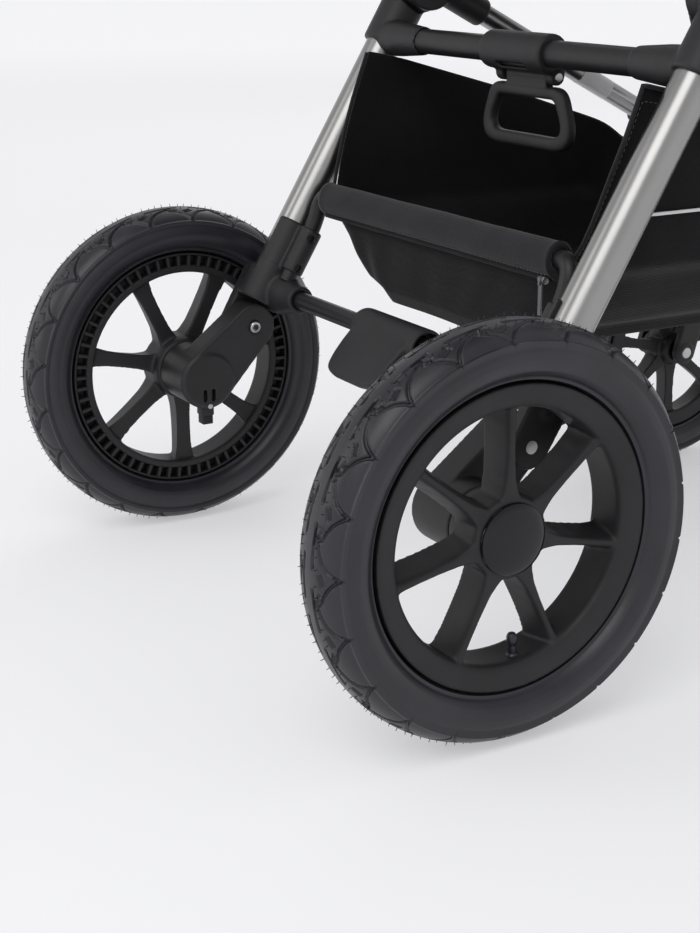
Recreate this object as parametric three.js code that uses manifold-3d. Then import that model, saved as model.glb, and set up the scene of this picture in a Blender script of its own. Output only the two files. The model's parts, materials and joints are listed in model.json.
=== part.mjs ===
// Baby stroller: sprung rear wheels, swivelling front wheels, folding chassis, telescopic handle,
// reclining seat with leg rest and bumper bar, folding hood, and a basket under the seat.
// Millimetres, +Z up. The child and the front wheels face -Y, and +X is the stroller's left side.
// Positions are written from the point on the floor under the middle of the rear axle; the whole
// group is then moved along Y, so that the origin is under the middle of the stroller.
import * as THREE from 'three';
import { mergeVertices } from 'three/addons/utils/BufferGeometryUtils.js';
import Module from 'manifold-3d';

const wasm = await Module();
wasm.setup();

// ---------------------------------------------------------------- driving dimensions
const GAP = 0.3;                      // clearance between pieces that touch
const PLAY = 0.4;                     // running clearance round pins and shafts

const REAR_WHEEL = {                  // 12 inch air wheel
  x: 270, y: 0, radius: 150, halfWidth: 27.4, rimRadius: 112.7, openRadius: 96, rimHalf: 18,
  hubRadius: 30, hubIn: 247.5, hubOut: 284, spokeHalf: 7.5, spokeIn: 257, spokeOut: 283, spokes: 7,
};
const FRONT_WHEEL = {                 // 9.5 inch wheel
  x: 186, y: -530, radius: 120, halfWidth: 21, rimRadius: 87, openRadius: 74, rimHalf: 14,
  hubRadius: 17, hubIn: 166.5, hubOut: 205.5, spokeHalf: 5.5, spokeIn: 176, spokeOut: 196, spokes: 7,
};
const WHEEL_SIDES = 32;               // flats round a wheel; one flat lies on the floor
const AXLE_RADIUS = 6;

const LEG_X = 217.6;                  // rear legs, measured at the middle of the tube
const LEG_RADIUS = 16;
const LEG_WALL = 1.6;
const LEG_Y_AT_FLOOR = 69.3;          // where the leg's line would meet the floor
const LEG_SLOPE = -0.6;               // change of y for each mm of height
const LEG_BOTTOM_Z = 235.5;
const LEG_TOP_Z = 469;

const MAIN_PIVOT = { y: -233, z: 502 };        // chassis fold axis, both sides
const SUSPENSION_PIVOT = { y: -48, z: 195 };
const ARM = { inner: 197, outer: 225, pivotRadius: 21, hubRadius: 27, hubOuter: 246.5 };
const CROSS_TUBE = { y: -80, z: 222, radius: 8, end: 198 };
const BRAKE_PIN = { y: -77, z: 219, radius: 4, from: 201, to: 244 };
const BRAKE_GROOVE = { inner: 98.5, outer: 110.5, depth: 10 };
const CROSSBAR = { y: -200, z: 450, radius: 11, end: 199.5 };
const PULL_HANDLE = { y: -208, z: 431, width: 132, height: 52, band: 11, thick: 11 };

const FRONT_LEG_X = 200;
const FRONT_LEG_RADIUS = 10;
const FRONT_LEG_SLOPE = 0.512;        // fall for each mm forward
const FRONT_LEG_END_Y = -508;
const CASTER = {
  x: 186, y: -570, headLow: 270, headHigh: 326, headRadius: 17, stemRadius: 7, neckRadius: 14,
};
const FRONT_BAR = { y: -517, z: 352, radius: 8, end: 176 };

const HANDLE_X = 232;
const HANDLE_LEAN = Math.atan2(523, 395);      // angle of the handle tubes above the horizontal
const HANDLE_OUTER_RADIUS = 14;
const HANDLE_INNER_RADIUS = 12;       // the sliding upper tube
const HANDLE_REACH = 655;             // fold axis to the middle of the grip
const HANDLE_LOWER_END = 360;
const HANDLE_UPPER_START = 230;
const HANDLE_CORNER = 70;

const SEAT_PIVOT = { y: -235, z: 575 };
const BACK_TUBE_X = 150;
const SEAT_FRONT_Y = -460;
const BACK_LEAN = THREE.MathUtils.degToRad(65);    // backrest above the horizontal, upright
const BACK_LENGTH = 480;
const LEG_REST_HINGE = { y: -474, z: 556 };
const LEG_REST_LENGTH = 165;
const BUMPER_PIVOT = { y: -292, z: 622 };
const BUMPER_X = 193;
const HOOD_AT = 330;                  // hood hinge's distance up the backrest
const HOOD_RADIUS = 205;              // hinge to the middle of a bow
const HOOD_BOW_X = { front: 176, middle: 166 };
const HOOD_SIDE_X = 182;
const HOOD_MID_ANGLE = THREE.MathUtils.degToRad(103);
const HOOD_FRONT_ANGLE = THREE.MathUtils.degToRad(152);

const BASKET = {
  wall: 3, floorZ: 215, rimZ: 300, floorHalf: 125, rimHalf: 197,
  floorRear: -135, floorFront: -412, rimRear: -124, rimFront: -452, panelHalf: 197,
};
const BASKET_BAR = { y: -115, z: 313, radius: 7.5, sleeveRadius: 13, sleeveHalf: 172 };
const MODEL_SHIFT_Y = 235.62;         // puts the origin under the middle of the stroller

// ---------------------------------------------------------------- materials
function material(color, roughness, metalness) {
  return new THREE.MeshStandardMaterial({ color, roughness, metalness });
}
const finish = {
  silver: material(0xa3a29f, 0.35, 0.9),
  steel: material(0x8a8a8c, 0.3, 1.0),
  blackTube: material(0x2a2a2c, 0.45, 0.3),
  plastic: material(0x37373a, 0.6, 0.0),
  gloss: material(0x18181a, 0.2, 0.0),
  tyre: material(0x2b2b30, 0.8, 0.0),
  fabric: material(0x222226, 0.95, 0.0),
  leather: material(0x1d1c1c, 0.55, 0.0),
};

// ---------------------------------------------------------------- shape helpers
const at = (x, y, z) => new THREE.Vector3(x, y, z);

function solid(geometry) {
  const bare = geometry.clone();
  bare.deleteAttribute('normal');
  bare.deleteAttribute('uv');
  const merged = mergeVertices(bare, 1e-4);
  return new wasm.Manifold(new wasm.Mesh({
    numProp: 3,
    vertProperties: Float32Array.from(merged.getAttribute('position').array),
    triVerts: Uint32Array.from(merged.getIndex().array),
  }));
}

function toGeometry(manifold) {
  const { vertProperties, triVerts } = manifold.getMesh();
  const geometry = new THREE.BufferGeometry();
  geometry.setAttribute('position', new THREE.BufferAttribute(Float32Array.from(vertProperties), 3));
  geometry.setIndex(new THREE.BufferAttribute(Uint32Array.from(triVerts), 1));
  geometry.computeVertexNormals();
  return geometry;
}

const join = (first, ...others) => others.reduce((whole, piece) => whole.add(piece), first);
const cut = (first, ...others) => others.reduce((whole, piece) => whole.subtract(piece), first);

// Round rod from one point to another; a second radius makes it a cone.
function rod(from, to, radius, sides = 12, endRadius = radius) {
  const geometry = new THREE.CylinderGeometry(endRadius, radius, from.distanceTo(to), sides);
  const along = to.clone().sub(from).normalize();
  geometry.applyQuaternion(new THREE.Quaternion().setFromUnitVectors(at(0, 1, 0), along));
  const middle = from.clone().add(to).multiplyScalar(0.5);
  return solid(geometry.translate(middle.x, middle.y, middle.z));
}

// Rod across the stroller, from x0 to x1.
function crossRod(centre, radius, x0, x1, sides = 12, endRadius = radius) {
  return rod(at(x0, centre.y, centre.z), at(x1, centre.y, centre.z), radius, sides, endRadius);
}

function block(x0, x1, y0, y1, z0, z1) {
  const geometry = new THREE.BoxGeometry(x1 - x0, y1 - y0, z1 - z0);
  return solid(geometry.translate((x0 + x1) / 2, (y0 + y1) / 2, (z0 + z1) / 2));
}

// Board whose outline is drawn in the side view (y, z), from x0 to x1.
function sideBoard(shape, x0, x1, curveSegments = 4) {
  const options = { depth: x1 - x0, bevelEnabled: false, curveSegments };
  const geometry = new THREE.ExtrudeGeometry(shape, options);
  const sideView = new THREE.Matrix4().makeBasis(at(0, 1, 0), at(0, 0, 1), at(1, 0, 0));
  return solid(geometry.applyMatrix4(sideView).translate(x0, 0, 0));
}

function outline(points) {
  return new THREE.Shape(points.map(([y, z]) => new THREE.Vector2(y, z)));
}

// Outline round two circles, like a link plate.
function link(a, radiusA, b, radiusB) {
  const direction = Math.atan2(b.z - a.z, b.y - a.y);
  const spread = Math.acos((radiusA - radiusB) / Math.hypot(b.y - a.y, b.z - a.z));
  const shape = new THREE.Shape();
  shape.absarc(a.y, a.z, radiusA, direction + spread, direction - spread + 2 * Math.PI, false);
  shape.absarc(b.y, b.z, radiusB, direction - spread, direction + spread, false);
  return shape;
}

function circle(radius) {
  const shape = new THREE.Shape();
  shape.absarc(0, 0, radius, 0, 2 * Math.PI, false);
  return shape;
}

// Path through the points with rounded corners. Steps are shared out by turns and not by length,
// so that a long straight run takes one step.
const BEND_STEPS = 3;
class RoundedPath extends THREE.Curve {
  constructor(points, cornerRadius) {
    super();
    this.runs = [];
    let start = points[0];
    for (let i = 1; i < points.length - 1; i += 1) {
      const corner = points[i];
      const before = corner.clone().sub(points[i - 1]).setLength(cornerRadius);
      const after = points[i + 1].clone().sub(corner).setLength(cornerRadius);
      const enter = corner.clone().sub(before);
      const leave = corner.clone().add(after);
      this.addRun(new THREE.LineCurve3(start, enter), 1);
      this.addRun(new THREE.QuadraticBezierCurve3(enter, corner, leave), BEND_STEPS);
      start = leave;
    }
    this.addRun(new THREE.LineCurve3(start, points[points.length - 1]), 1);
    this.steps = this.runs.reduce((sum, run) => sum + run.steps, 0);
  }

  addRun(curve, steps) {
    this.runs.push({ curve, steps });
  }

  getPoint(t) {
    let left = t * this.steps;
    for (const { curve, steps } of this.runs) {
      if (left <= steps) return curve.getPoint(Math.max(left, 0) / steps);
      left -= steps;
    }
    return this.runs.at(-1).curve.getPoint(1);
  }

  getUtoTmapping(u) {
    return u;
  }
}

function bentRod(points, radius, cornerRadius, sides = 10) {
  const extrudePath = new RoundedPath(points, cornerRadius);
  const options = { steps: extrudePath.steps, curveSegments: sides / 2, extrudePath };
  return solid(new THREE.ExtrudeGeometry(circle(radius), options));
}

// Solid of revolution about the wheel's axle; profile points are (x, radius).
function revolve(profile, axle, sides = WHEEL_SIDES) {
  const points = profile.map(([x, radius]) => new THREE.Vector2(radius, x));
  if (THREE.ShapeUtils.area(points) < 0) points.reverse();
  const geometry = new THREE.LatheGeometry(points, sides);
  geometry.rotateZ(-Math.PI / 2).rotateX(Math.PI / sides);
  return solid(geometry.translate(0, axle.y, axle.z));
}

function mirrored(geometry) {
  const other = geometry.clone().scale(-1, 1, 1);
  const index = other.getIndex();
  for (let i = 0; i < index.count; i += 3) {
    const swapped = index.getX(i + 1);
    index.setX(i + 1, index.getX(i + 2));
    index.setX(i + 2, swapped);
  }
  other.computeVertexNormals();
  return other;
}

const stroller = new THREE.Group();
stroller.position.y = MODEL_SHIFT_Y;

function addPiece(name, shape, look) {
  const mesh = new THREE.Mesh(toGeometry(shape), look);
  mesh.name = name;
  stroller.add(mesh);
}

// A piece made for the left side, and its mirror image on the right.
function addPair(name, shape, look) {
  const geometry = toGeometry(shape);
  [['left', geometry], ['right', mirrored(geometry)]].forEach(([side, oneSide]) => {
    const mesh = new THREE.Mesh(oneSide, look);
    mesh.name = `${name}_${side}`;
    stroller.add(mesh);
  });
}

// ---------------------------------------------------------------- places worked out from them
const rearAxle = { y: REAR_WHEEL.y, z: REAR_WHEEL.radius };
const frontAxle = { y: FRONT_WHEEL.y, z: FRONT_WHEEL.radius };
const onLeg = (z) => at(LEG_X, LEG_Y_AT_FLOOR + LEG_SLOPE * z, z);
const onFrontLeg = (y) => at(FRONT_LEG_X, y, MAIN_PIVOT.z + (y - MAIN_PIVOT.y) * FRONT_LEG_SLOPE);
const handleY = Math.cos(HANDLE_LEAN);
const handleZ = Math.sin(HANDLE_LEAN);
const onHandle = (x, reach, lift = 0) => at(
  x,
  MAIN_PIVOT.y + reach * handleY - lift * handleZ,
  MAIN_PIVOT.z + reach * handleZ + lift * handleY,
);
const backY = Math.cos(BACK_LEAN);
const backZ = Math.sin(BACK_LEAN);
// A place on the backrest: its distance up from the seat pivot and in front of the board.
const onBack = (x, up, front = 0) => at(
  x,
  SEAT_PIVOT.y + up * backY - front * backZ,
  SEAT_PIVOT.z + up * backZ + front * backY,
);
const hoodHinge = onBack(0, HOOD_AT);

// ---------------------------------------------------------------- wheels
function tyre(wheel) {
  const { x, radius, halfWidth, rimRadius, rimHalf } = wheel;
  const onFlat = 1 / Math.cos(Math.PI / WHEEL_SIDES);
  const bead = rimRadius + 0.5;
  const height = radius - bead;
  const wall = 4.5;
  const half = [
    [halfWidth * 0.36, radius],
    [halfWidth * 0.84, radius - height * 0.22],
    [halfWidth, radius - height * 0.55],
    [rimHalf, bead],
    [rimHalf - wall, bead],
    [halfWidth * 0.7, radius - height * 0.36],
  ];
  const otherHalf = half.slice().reverse().map(([offset, r]) => [-offset, r]);
  const loop = [...half, ...otherHalf, half[0]];
  return revolve(loop.map(([offset, r]) => [x + offset, r * onFlat]), { y: wheel.y, z: radius });
}

function arcPoints(radius, from, to, steps) {
  return Array.from({ length: steps + 1 }, (_, i) => {
    const angle = from + (to - from) * i / steps;
    return new THREE.Vector2(radius * Math.cos(angle), radius * Math.sin(angle));
  });
}

function spokeShape(wheel) {
  const shape = new THREE.Shape(arcPoints(wheel.openRadius + 6, 0, 2 * Math.PI, 42).slice(0, -1));
  const inner = wheel.hubRadius + 9;
  const pitch = 2 * Math.PI / wheel.spokes;
  const outerTurn = Math.asin(wheel.spokeHalf / wheel.openRadius);
  const innerTurn = Math.asin((wheel.spokeHalf + 3) / inner);
  for (let i = 0; i < wheel.spokes; i += 1) {
    const start = Math.PI / 2 + i * pitch;
    shape.holes.push(new THREE.Path([
      ...arcPoints(wheel.openRadius + 2, start + outerTurn, start + pitch - outerTurn, 5),
      ...arcPoints(inner, start + pitch - innerTurn, start + innerTurn, 2),
    ]));
  }
  return shape;
}

function rim(wheel, grooved) {
  const { x, rimHalf, rimRadius, openRadius } = wheel;
  const axle = { y: wheel.y, z: wheel.radius };
  const barrel = [
    [x - rimHalf, openRadius],
    [x + rimHalf, openRadius],
    [x + rimHalf, rimRadius],
    [x - rimHalf, rimRadius],
  ];
  if (grooved) {
    const bottom = x - rimHalf + BRAKE_GROOVE.depth;
    barrel.push(
      [x - rimHalf, BRAKE_GROOVE.outer],
      [bottom, BRAKE_GROOVE.outer],
      [bottom, BRAKE_GROOVE.inner],
      [x - rimHalf, BRAKE_GROOVE.inner],
    );
  }
  barrel.push(barrel[0]);
  const spokes = sideBoard(spokeShape(wheel), wheel.spokeIn, wheel.spokeOut);
  const centred = toGeometry(spokes).translate(0, axle.y, axle.z);
  const hub = crossRod(axle, wheel.hubRadius, wheel.hubIn, wheel.hubOut);
  const bore = crossRod(axle, AXLE_RADIUS + PLAY, wheel.hubIn - 1, wheel.hubOut + 1);
  return cut(join(revolve(barrel, axle), solid(centred), hub), bore);
}

addPair('rear_tyre', tyre(REAR_WHEEL), finish.tyre);
addPair('rear_rim', rim(REAR_WHEEL, true), finish.plastic);
addPair('front_tyre', tyre(FRONT_WHEEL), finish.tyre);
addPair('front_rim', rim(FRONT_WHEEL, false), finish.plastic);

const capProfile = [
  [REAR_WHEEL.hubOut + GAP, 0],
  [REAR_WHEEL.hubOut + GAP, 26],
  [REAR_WHEEL.hubOut + 3, 26],
  [REAR_WHEEL.hubOut + 5.5, 22],
  [REAR_WHEEL.hubOut + 6.5, 0],
];
addPair('rear_hub_cap', revolve(capProfile, rearAxle, 16), finish.gloss);

// ---------------------------------------------------------------- rear axle, arm and suspension
addPair('rear_axle', crossRod(rearAxle, AXLE_RADIUS, 206, REAR_WHEEL.hubOut), finish.steel);

const tabPocket = block(199, 214, -7, 7, 100, 141);
const arm = cut(
  join(
    sideBoard(link(SUSPENSION_PIVOT, ARM.pivotRadius, rearAxle, ARM.hubRadius), ARM.inner, ARM.outer),
    crossRod(rearAxle, ARM.hubRadius, ARM.inner, ARM.hubOuter, 16),
  ),
  crossRod(SUSPENSION_PIVOT, 5 + PLAY, ARM.inner - 1, ARM.outer + 1),
  crossRod(rearAxle, AXLE_RADIUS + GAP, 205, ARM.hubOuter + 1),
  tabPocket,
);
addPair('suspension_arm', arm, finish.plastic);

const tab = join(
  block(200, 213, -6, 6, 116, 134),
  block(201, 212, -5, 5, 108, 117),
);
addPair('release_tab', tab, finish.plastic);

const pivotBolt = join(
  crossRod(SUSPENSION_PIVOT, 5, ARM.inner - 2, 238),
  crossRod(SUSPENSION_PIVOT, 7.5, ARM.inner - 4, ARM.inner - GAP, 16),
);
const boltSocket = crossRod(SUSPENSION_PIVOT, 3, ARM.inner - 5, ARM.inner - 1.5, 6);
addPair('suspension_bolt', cut(pivotBolt, boltSocket), finish.steel);

// ---------------------------------------------------------------- rear frame
const legTube = cut(
  rod(onLeg(LEG_BOTTOM_Z), onLeg(LEG_TOP_Z), LEG_RADIUS, 16),
  rod(onLeg(LEG_BOTTOM_Z - 5), onLeg(LEG_TOP_Z + 5), LEG_RADIUS - LEG_WALL, 16),
);
addPair('rear_leg', legTube, finish.silver);

// Casting at the foot of the leg: sleeve, axle tube collar, suspension tongue and bar clamp.
const BAR_BEND = 14;
const barPath = [
  at(191, -78, 236),
  at(191, -108, 286),
  at(189, -115, 313),
  at(0, BASKET_BAR.y, BASKET_BAR.z),
];
const collarEnd = 200;
const clampLow = onLeg(247);
const clampHigh = onLeg(284);
const inboardHalf = block(180, LEG_X - 5, -200, 0, 200, 320);
const casting = cut(
  join(
    rod(onLeg(215.6), onLeg(247), LEG_RADIUS + 4.5, 16),
    crossRod(CROSS_TUBE, 13, 166, collarEnd, 24, 18),
    crossRod(CROSS_TUBE, 18, collarEnd - 1, 228),
    sideBoard(link(SUSPENSION_PIVOT, 17, onLeg(233), 18), 225.5, 237),
    rod(clampLow, clampHigh, LEG_RADIUS + 3.5, 16).intersect(inboardHalf),
    rod(at(191, -82.8, 244), at(191, -105, 281), BASKET_BAR.radius + 3, 16),
  ),
  rod(onLeg(LEG_BOTTOM_Z - GAP), onLeg(320), LEG_RADIUS + GAP, 16),
  crossRod(SUSPENSION_PIVOT, 5 + PLAY, 224, 239),
  crossRod(SUSPENSION_PIVOT, ARM.pivotRadius + 1, 190, 225.5, 16),
  crossRod(CROSS_TUBE, CROSS_TUBE.radius + GAP, 160, CROSS_TUBE.end + GAP),
  crossRod(BRAKE_PIN, BRAKE_PIN.radius + PLAY, CROSS_TUBE.end, 245, 16),
  bentRod(barPath, BASKET_BAR.radius + GAP, BAR_BEND, 8),
);
addPair('axle_casting', casting, finish.plastic);

const crossTube = cut(
  crossRod(CROSS_TUBE, CROSS_TUBE.radius, -CROSS_TUBE.end, CROSS_TUBE.end),
  crossRod(CROSS_TUBE, CROSS_TUBE.radius - 1.5, -CROSS_TUBE.end - 1, CROSS_TUBE.end + 1),
);
addPiece('axle_cross_tube', crossTube, finish.blackTube);

const barSide = barPath.slice(0, 3);
const barPoints = [...barSide, ...barSide.toReversed().map((p) => at(-p.x, p.y, p.z))];
addPiece('basket_bar', bentRod(barPoints, BASKET_BAR.radius, BAR_BEND, 8), finish.blackTube);

// Casting at the top of the leg: sleeve, crossbar socket, fold axis hub and seat socket.
const jointCasting = cut(
  join(
    rod(onLeg(443), onLeg(488), LEG_RADIUS + 4, 16),
    crossRod(CROSSBAR, 16, 186, 214),
    crossRod(MAIN_PIVOT, 30, 205.5, 222),
    sideBoard(link(MAIN_PIVOT, 28, SEAT_PIVOT, 24), 205.5, 213),
    crossRod(MAIN_PIVOT, 8, 189, 248),
  ),
  rod(onLeg(430), onLeg(LEG_TOP_Z + GAP), LEG_RADIUS + GAP, 16),
  crossRod(CROSSBAR, CROSSBAR.radius + GAP, 180, CROSSBAR.end + GAP),
  cut(crossRod(MAIN_PIVOT, 30.5, 180, 205.5), crossRod(MAIN_PIVOT, 8, 180, 206)),
  cut(crossRod(MAIN_PIVOT, 31, 222, 250), crossRod(MAIN_PIVOT, 8, 221, 251)),
  crossRod(SEAT_PIVOT, 9 + GAP, 200, 220),
);
addPair('leg_joint', jointCasting, finish.plastic);

const crossbar = cut(
  crossRod(CROSSBAR, CROSSBAR.radius, -CROSSBAR.end, CROSSBAR.end),
  crossRod(CROSSBAR, CROSSBAR.radius - 1.5, -CROSSBAR.end - 1, CROSSBAR.end + 1),
);
addPiece('rear_crossbar', crossbar, finish.blackTube);

// ---------------------------------------------------------------- fold release on the crossbar
const hingePin = { y: PULL_HANDLE.y, z: PULL_HANDLE.z };
const housing = cut(
  join(
    crossRod(CROSSBAR, CROSSBAR.radius + 5, -43, 43),
    block(-40, 40, PULL_HANDLE.y - 7, PULL_HANDLE.y + 7, PULL_HANDLE.z, CROSSBAR.z - 4),
    crossRod(hingePin, 7, -40, 40, 16),
  ),
  crossRod(CROSSBAR, CROSSBAR.radius + GAP, -44, 44),
  block(-30, 30, PULL_HANDLE.y - 12, PULL_HANDLE.y + 12, PULL_HANDLE.z - 9, PULL_HANDLE.z + 6),
  crossRod(hingePin, 3 + PLAY, -37, 37, 12),
);
addPiece('fold_housing', housing, finish.plastic);

// Loop hanging from its top edge, with small top corners and large bottom corners.
function roundedLoop(width, height, corner) {
  const shape = new THREE.Shape();
  const half = width / 2;
  const top = corner / 3;
  shape.absarc(half - top, -top, top, Math.PI / 2, 0, true);
  shape.absarc(half - corner, corner - height, corner, 0, -Math.PI / 2, true);
  shape.absarc(corner - half, corner - height, corner, -Math.PI / 2, -Math.PI, true);
  shape.absarc(top - half, -top, top, Math.PI, Math.PI / 2, true);
  return shape;
}

// Board whose outline is drawn in the rear view (x, z), with its middle at y.
function frontBoard(shape, thickness, y, z) {
  const options = { depth: thickness, bevelEnabled: false, curveSegments: 4 };
  const geometry = new THREE.ExtrudeGeometry(shape, options);
  geometry.rotateX(Math.PI / 2);
  return solid(geometry.translate(0, y + thickness / 2, z));
}

const { width, height, band, thick } = PULL_HANDLE;
const loopTop = hingePin.z - 8;
const loop = cut(
  frontBoard(roundedLoop(width, height, 24), thick, hingePin.y, loopTop),
  frontBoard(
    roundedLoop(width - 2 * band, height - 2 * band, 16), thick + 2, hingePin.y, loopTop - band,
  ),
);
const pullHandle = join(
  loop,
  block(-28, 28, hingePin.y - 4.5, hingePin.y + 4.5, loopTop - 4, hingePin.z),
  crossRod(hingePin, 4.5, -28, 28, 16),
  crossRod(hingePin, 3, -36, 36, 12),
);
addPiece('pull_handle', pullHandle, finish.plastic);

// ---------------------------------------------------------------- brake
const pedalBlade = outline([
  [-88, 234], [-70, 234], [-38, 203], [-30, 193], [-34, 184], [-44, 187], [-76, 212],
]);
const PEDAL = { collarRadius: 16, collarHalf: 50, bladeHalf: 44 };
const pedal = cut(
  join(
    crossRod(CROSS_TUBE, PEDAL.collarRadius, -PEDAL.collarHalf, PEDAL.collarHalf, 16),
    sideBoard(pedalBlade, -PEDAL.bladeHalf, PEDAL.bladeHalf),
  ),
  crossRod(CROSS_TUBE, CROSS_TUBE.radius + PLAY, -PEDAL.collarHalf - 1, PEDAL.collarHalf + 1),
);
addPiece('brake_pedal', pedal, finish.plastic);
addPair('brake_pin', crossRod(BRAKE_PIN, BRAKE_PIN.radius, BRAKE_PIN.from, BRAKE_PIN.to, 16), finish.steel);

// ---------------------------------------------------------------- front frame
const frontTube = cut(
  rod(onFrontLeg(MAIN_PIVOT.y - 30), onFrontLeg(FRONT_LEG_END_Y), FRONT_LEG_RADIUS),
  rod(onFrontLeg(MAIN_PIVOT.y - 20), onFrontLeg(FRONT_LEG_END_Y - 10), FRONT_LEG_RADIUS - 1.5),
);
addPair('front_leg', frontTube, finish.silver);

const frontHub = cut(
  join(
    crossRod(MAIN_PIVOT, 28, 190, 205.2),
    rod(onFrontLeg(MAIN_PIVOT.y - 14), onFrontLeg(MAIN_PIVOT.y - 62), FRONT_LEG_RADIUS + 3.5),
  ),
  crossRod(MAIN_PIVOT, 8 + PLAY, 180, 210),
  rod(onFrontLeg(MAIN_PIVOT.y - 30 + GAP), onFrontLeg(MAIN_PIVOT.y - 90), FRONT_LEG_RADIUS + GAP),
  crossRod(MAIN_PIVOT, 50, 205.2, 222),
);
addPair('front_hub', frontHub, finish.plastic);

const casterTop = at(CASTER.x, CASTER.y, CASTER.headHigh);
const headLow = at(CASTER.x, CASTER.y, CASTER.headLow);
const knucklePath = [
  onFrontLeg(-486),
  onFrontLeg(-526),
  at(CASTER.x + 4, -553, 326),
  at(CASTER.x, CASTER.y + 4, 302),
];
const knuckle = cut(
  join(
    bentRod(knucklePath, CASTER.neckRadius, 14, 10),
    rod(headLow, casterTop, CASTER.headRadius),
    crossRod(FRONT_BAR, FRONT_BAR.radius + 4, 168, 196),
  ),
  rod(onFrontLeg(-400), onFrontLeg(FRONT_LEG_END_Y - GAP), FRONT_LEG_RADIUS + GAP),
  rod(headLow.clone().setZ(200), casterTop.clone().setZ(CASTER.headHigh - 10), CASTER.stemRadius + PLAY),
  crossRod(FRONT_BAR, FRONT_BAR.radius + GAP, 160, FRONT_BAR.end + GAP),
);
addPair('caster_housing', knuckle, finish.plastic);
const frontBar = crossRod(FRONT_BAR, FRONT_BAR.radius, -FRONT_BAR.end, FRONT_BAR.end);
addPiece('front_bar', frontBar, finish.blackTube);

const forkCrown = { y: CASTER.y, z: 256 };
const forkInner = FRONT_WHEEL.halfWidth + 4;
const forkOuter = forkInner + 8;
const forkPlate = link(forkCrown, 13, frontAxle, 13);
const fork = cut(
  join(
    sideBoard(forkPlate, CASTER.x - forkOuter, CASTER.x - forkInner),
    sideBoard(forkPlate, CASTER.x + forkInner, CASTER.x + forkOuter),
    block(CASTER.x - forkOuter, CASTER.x + forkOuter, CASTER.y - 11, CASTER.y + 12, 246, 268),
    rod(headLow.clone().setZ(262), casterTop.clone().setZ(CASTER.headHigh - 12), CASTER.stemRadius),
  ),
  crossRod(frontAxle, AXLE_RADIUS + GAP, CASTER.x - 60, CASTER.x + 60),
);
addPair('front_fork', fork, finish.plastic);
const frontAxleRod = crossRod(frontAxle, AXLE_RADIUS, CASTER.x - forkOuter - 2, CASTER.x + forkOuter + 2);
addPair('front_axle', frontAxleRod, finish.steel);

// ---------------------------------------------------------------- handle
const lowerHandle = cut(
  join(
    crossRod(MAIN_PIVOT, 29, 222.5, 246),
    rod(onHandle(HANDLE_X, 12), onHandle(HANDLE_X, HANDLE_LOWER_END), HANDLE_OUTER_RADIUS),
    rod(onHandle(HANDLE_X, HANDLE_LOWER_END - 40), onHandle(HANDLE_X, HANDLE_LOWER_END + 4), 18),
  ),
  rod(onHandle(HANDLE_X, 36), onHandle(HANDLE_X, HANDLE_LOWER_END + 20), HANDLE_INNER_RADIUS + 2 * PLAY),
  crossRod(MAIN_PIVOT, 8 + PLAY, 220, 250),
  crossRod(MAIN_PIVOT, 34, 205, 222.5),
);
addPair('handle_lower', lowerHandle, finish.silver);

const upperPoints = [
  onHandle(HANDLE_X, HANDLE_UPPER_START),
  onHandle(HANDLE_X, HANDLE_REACH),
  onHandle(-HANDLE_X, HANDLE_REACH),
  onHandle(-HANDLE_X, HANDLE_UPPER_START),
];
const buttonLift = HANDLE_INNER_RADIUS - 4;
function buttonBlock(halfX, halfReach, low, high) {
  const size = [2 * halfX, 2 * halfReach, high - low];
  const geometry = new THREE.BoxGeometry(...size).translate(0, HANDLE_REACH, (low + high) / 2);
  geometry.rotateX(HANDLE_LEAN);
  return solid(geometry.translate(0, MAIN_PIVOT.y, MAIN_PIVOT.z));
}
const upperHandle = cut(
  bentRod(upperPoints, HANDLE_INNER_RADIUS, HANDLE_CORNER, 10),
  buttonBlock(15, 7.5, buttonLift - 3, 40),
);
addPiece('handle_upper', upperHandle, finish.silver);
const gripHalf = 150;
const grip = cut(
  rod(onHandle(-gripHalf, HANDLE_REACH), onHandle(gripHalf, HANDLE_REACH), HANDLE_INNER_RADIUS + 5),
  rod(onHandle(-200, HANDLE_REACH), onHandle(200, HANDLE_REACH), HANDLE_INNER_RADIUS + 2 * PLAY),
  buttonBlock(15, 7.5, 0, 40),
);
addPiece('handle_grip', grip, finish.leather);
addPiece('fold_button', buttonBlock(14.5, 7, buttonLift, HANDLE_INNER_RADIUS + 8), finish.gloss);

// ---------------------------------------------------------------- seat
const seatFrame = join(
  ...[-1, 1].flatMap((side) => [
    crossRod(SEAT_PIVOT, 26, side * 168, side * 182),
    crossRod(SEAT_PIVOT, 22, side * 181, side * 205.2),
    crossRod(SEAT_PIVOT, 9, side * 200, side * 212),
    block(Math.min(side * 168, side * 182), Math.max(side * 168, side * 182), SEAT_FRONT_Y, -235, 549, 573),
    sideBoard(
      link(SEAT_PIVOT, 16, BUMPER_PIVOT, 13),
      Math.min(side * 170, side * 182), Math.max(side * 170, side * 182), 6,
    ),
    crossRod(BUMPER_PIVOT, 5, side * 178, side * 199, 16),
  ]),
  block(-168, 168, SEAT_FRONT_Y, -262, 549, 556),
);
addPiece('seat_frame', seatFrame, finish.plastic);
addPiece('seat_pad', block(-155, 155, SEAT_FRONT_Y - 4, -266, 556 + GAP, 588), finish.fabric);

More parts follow.
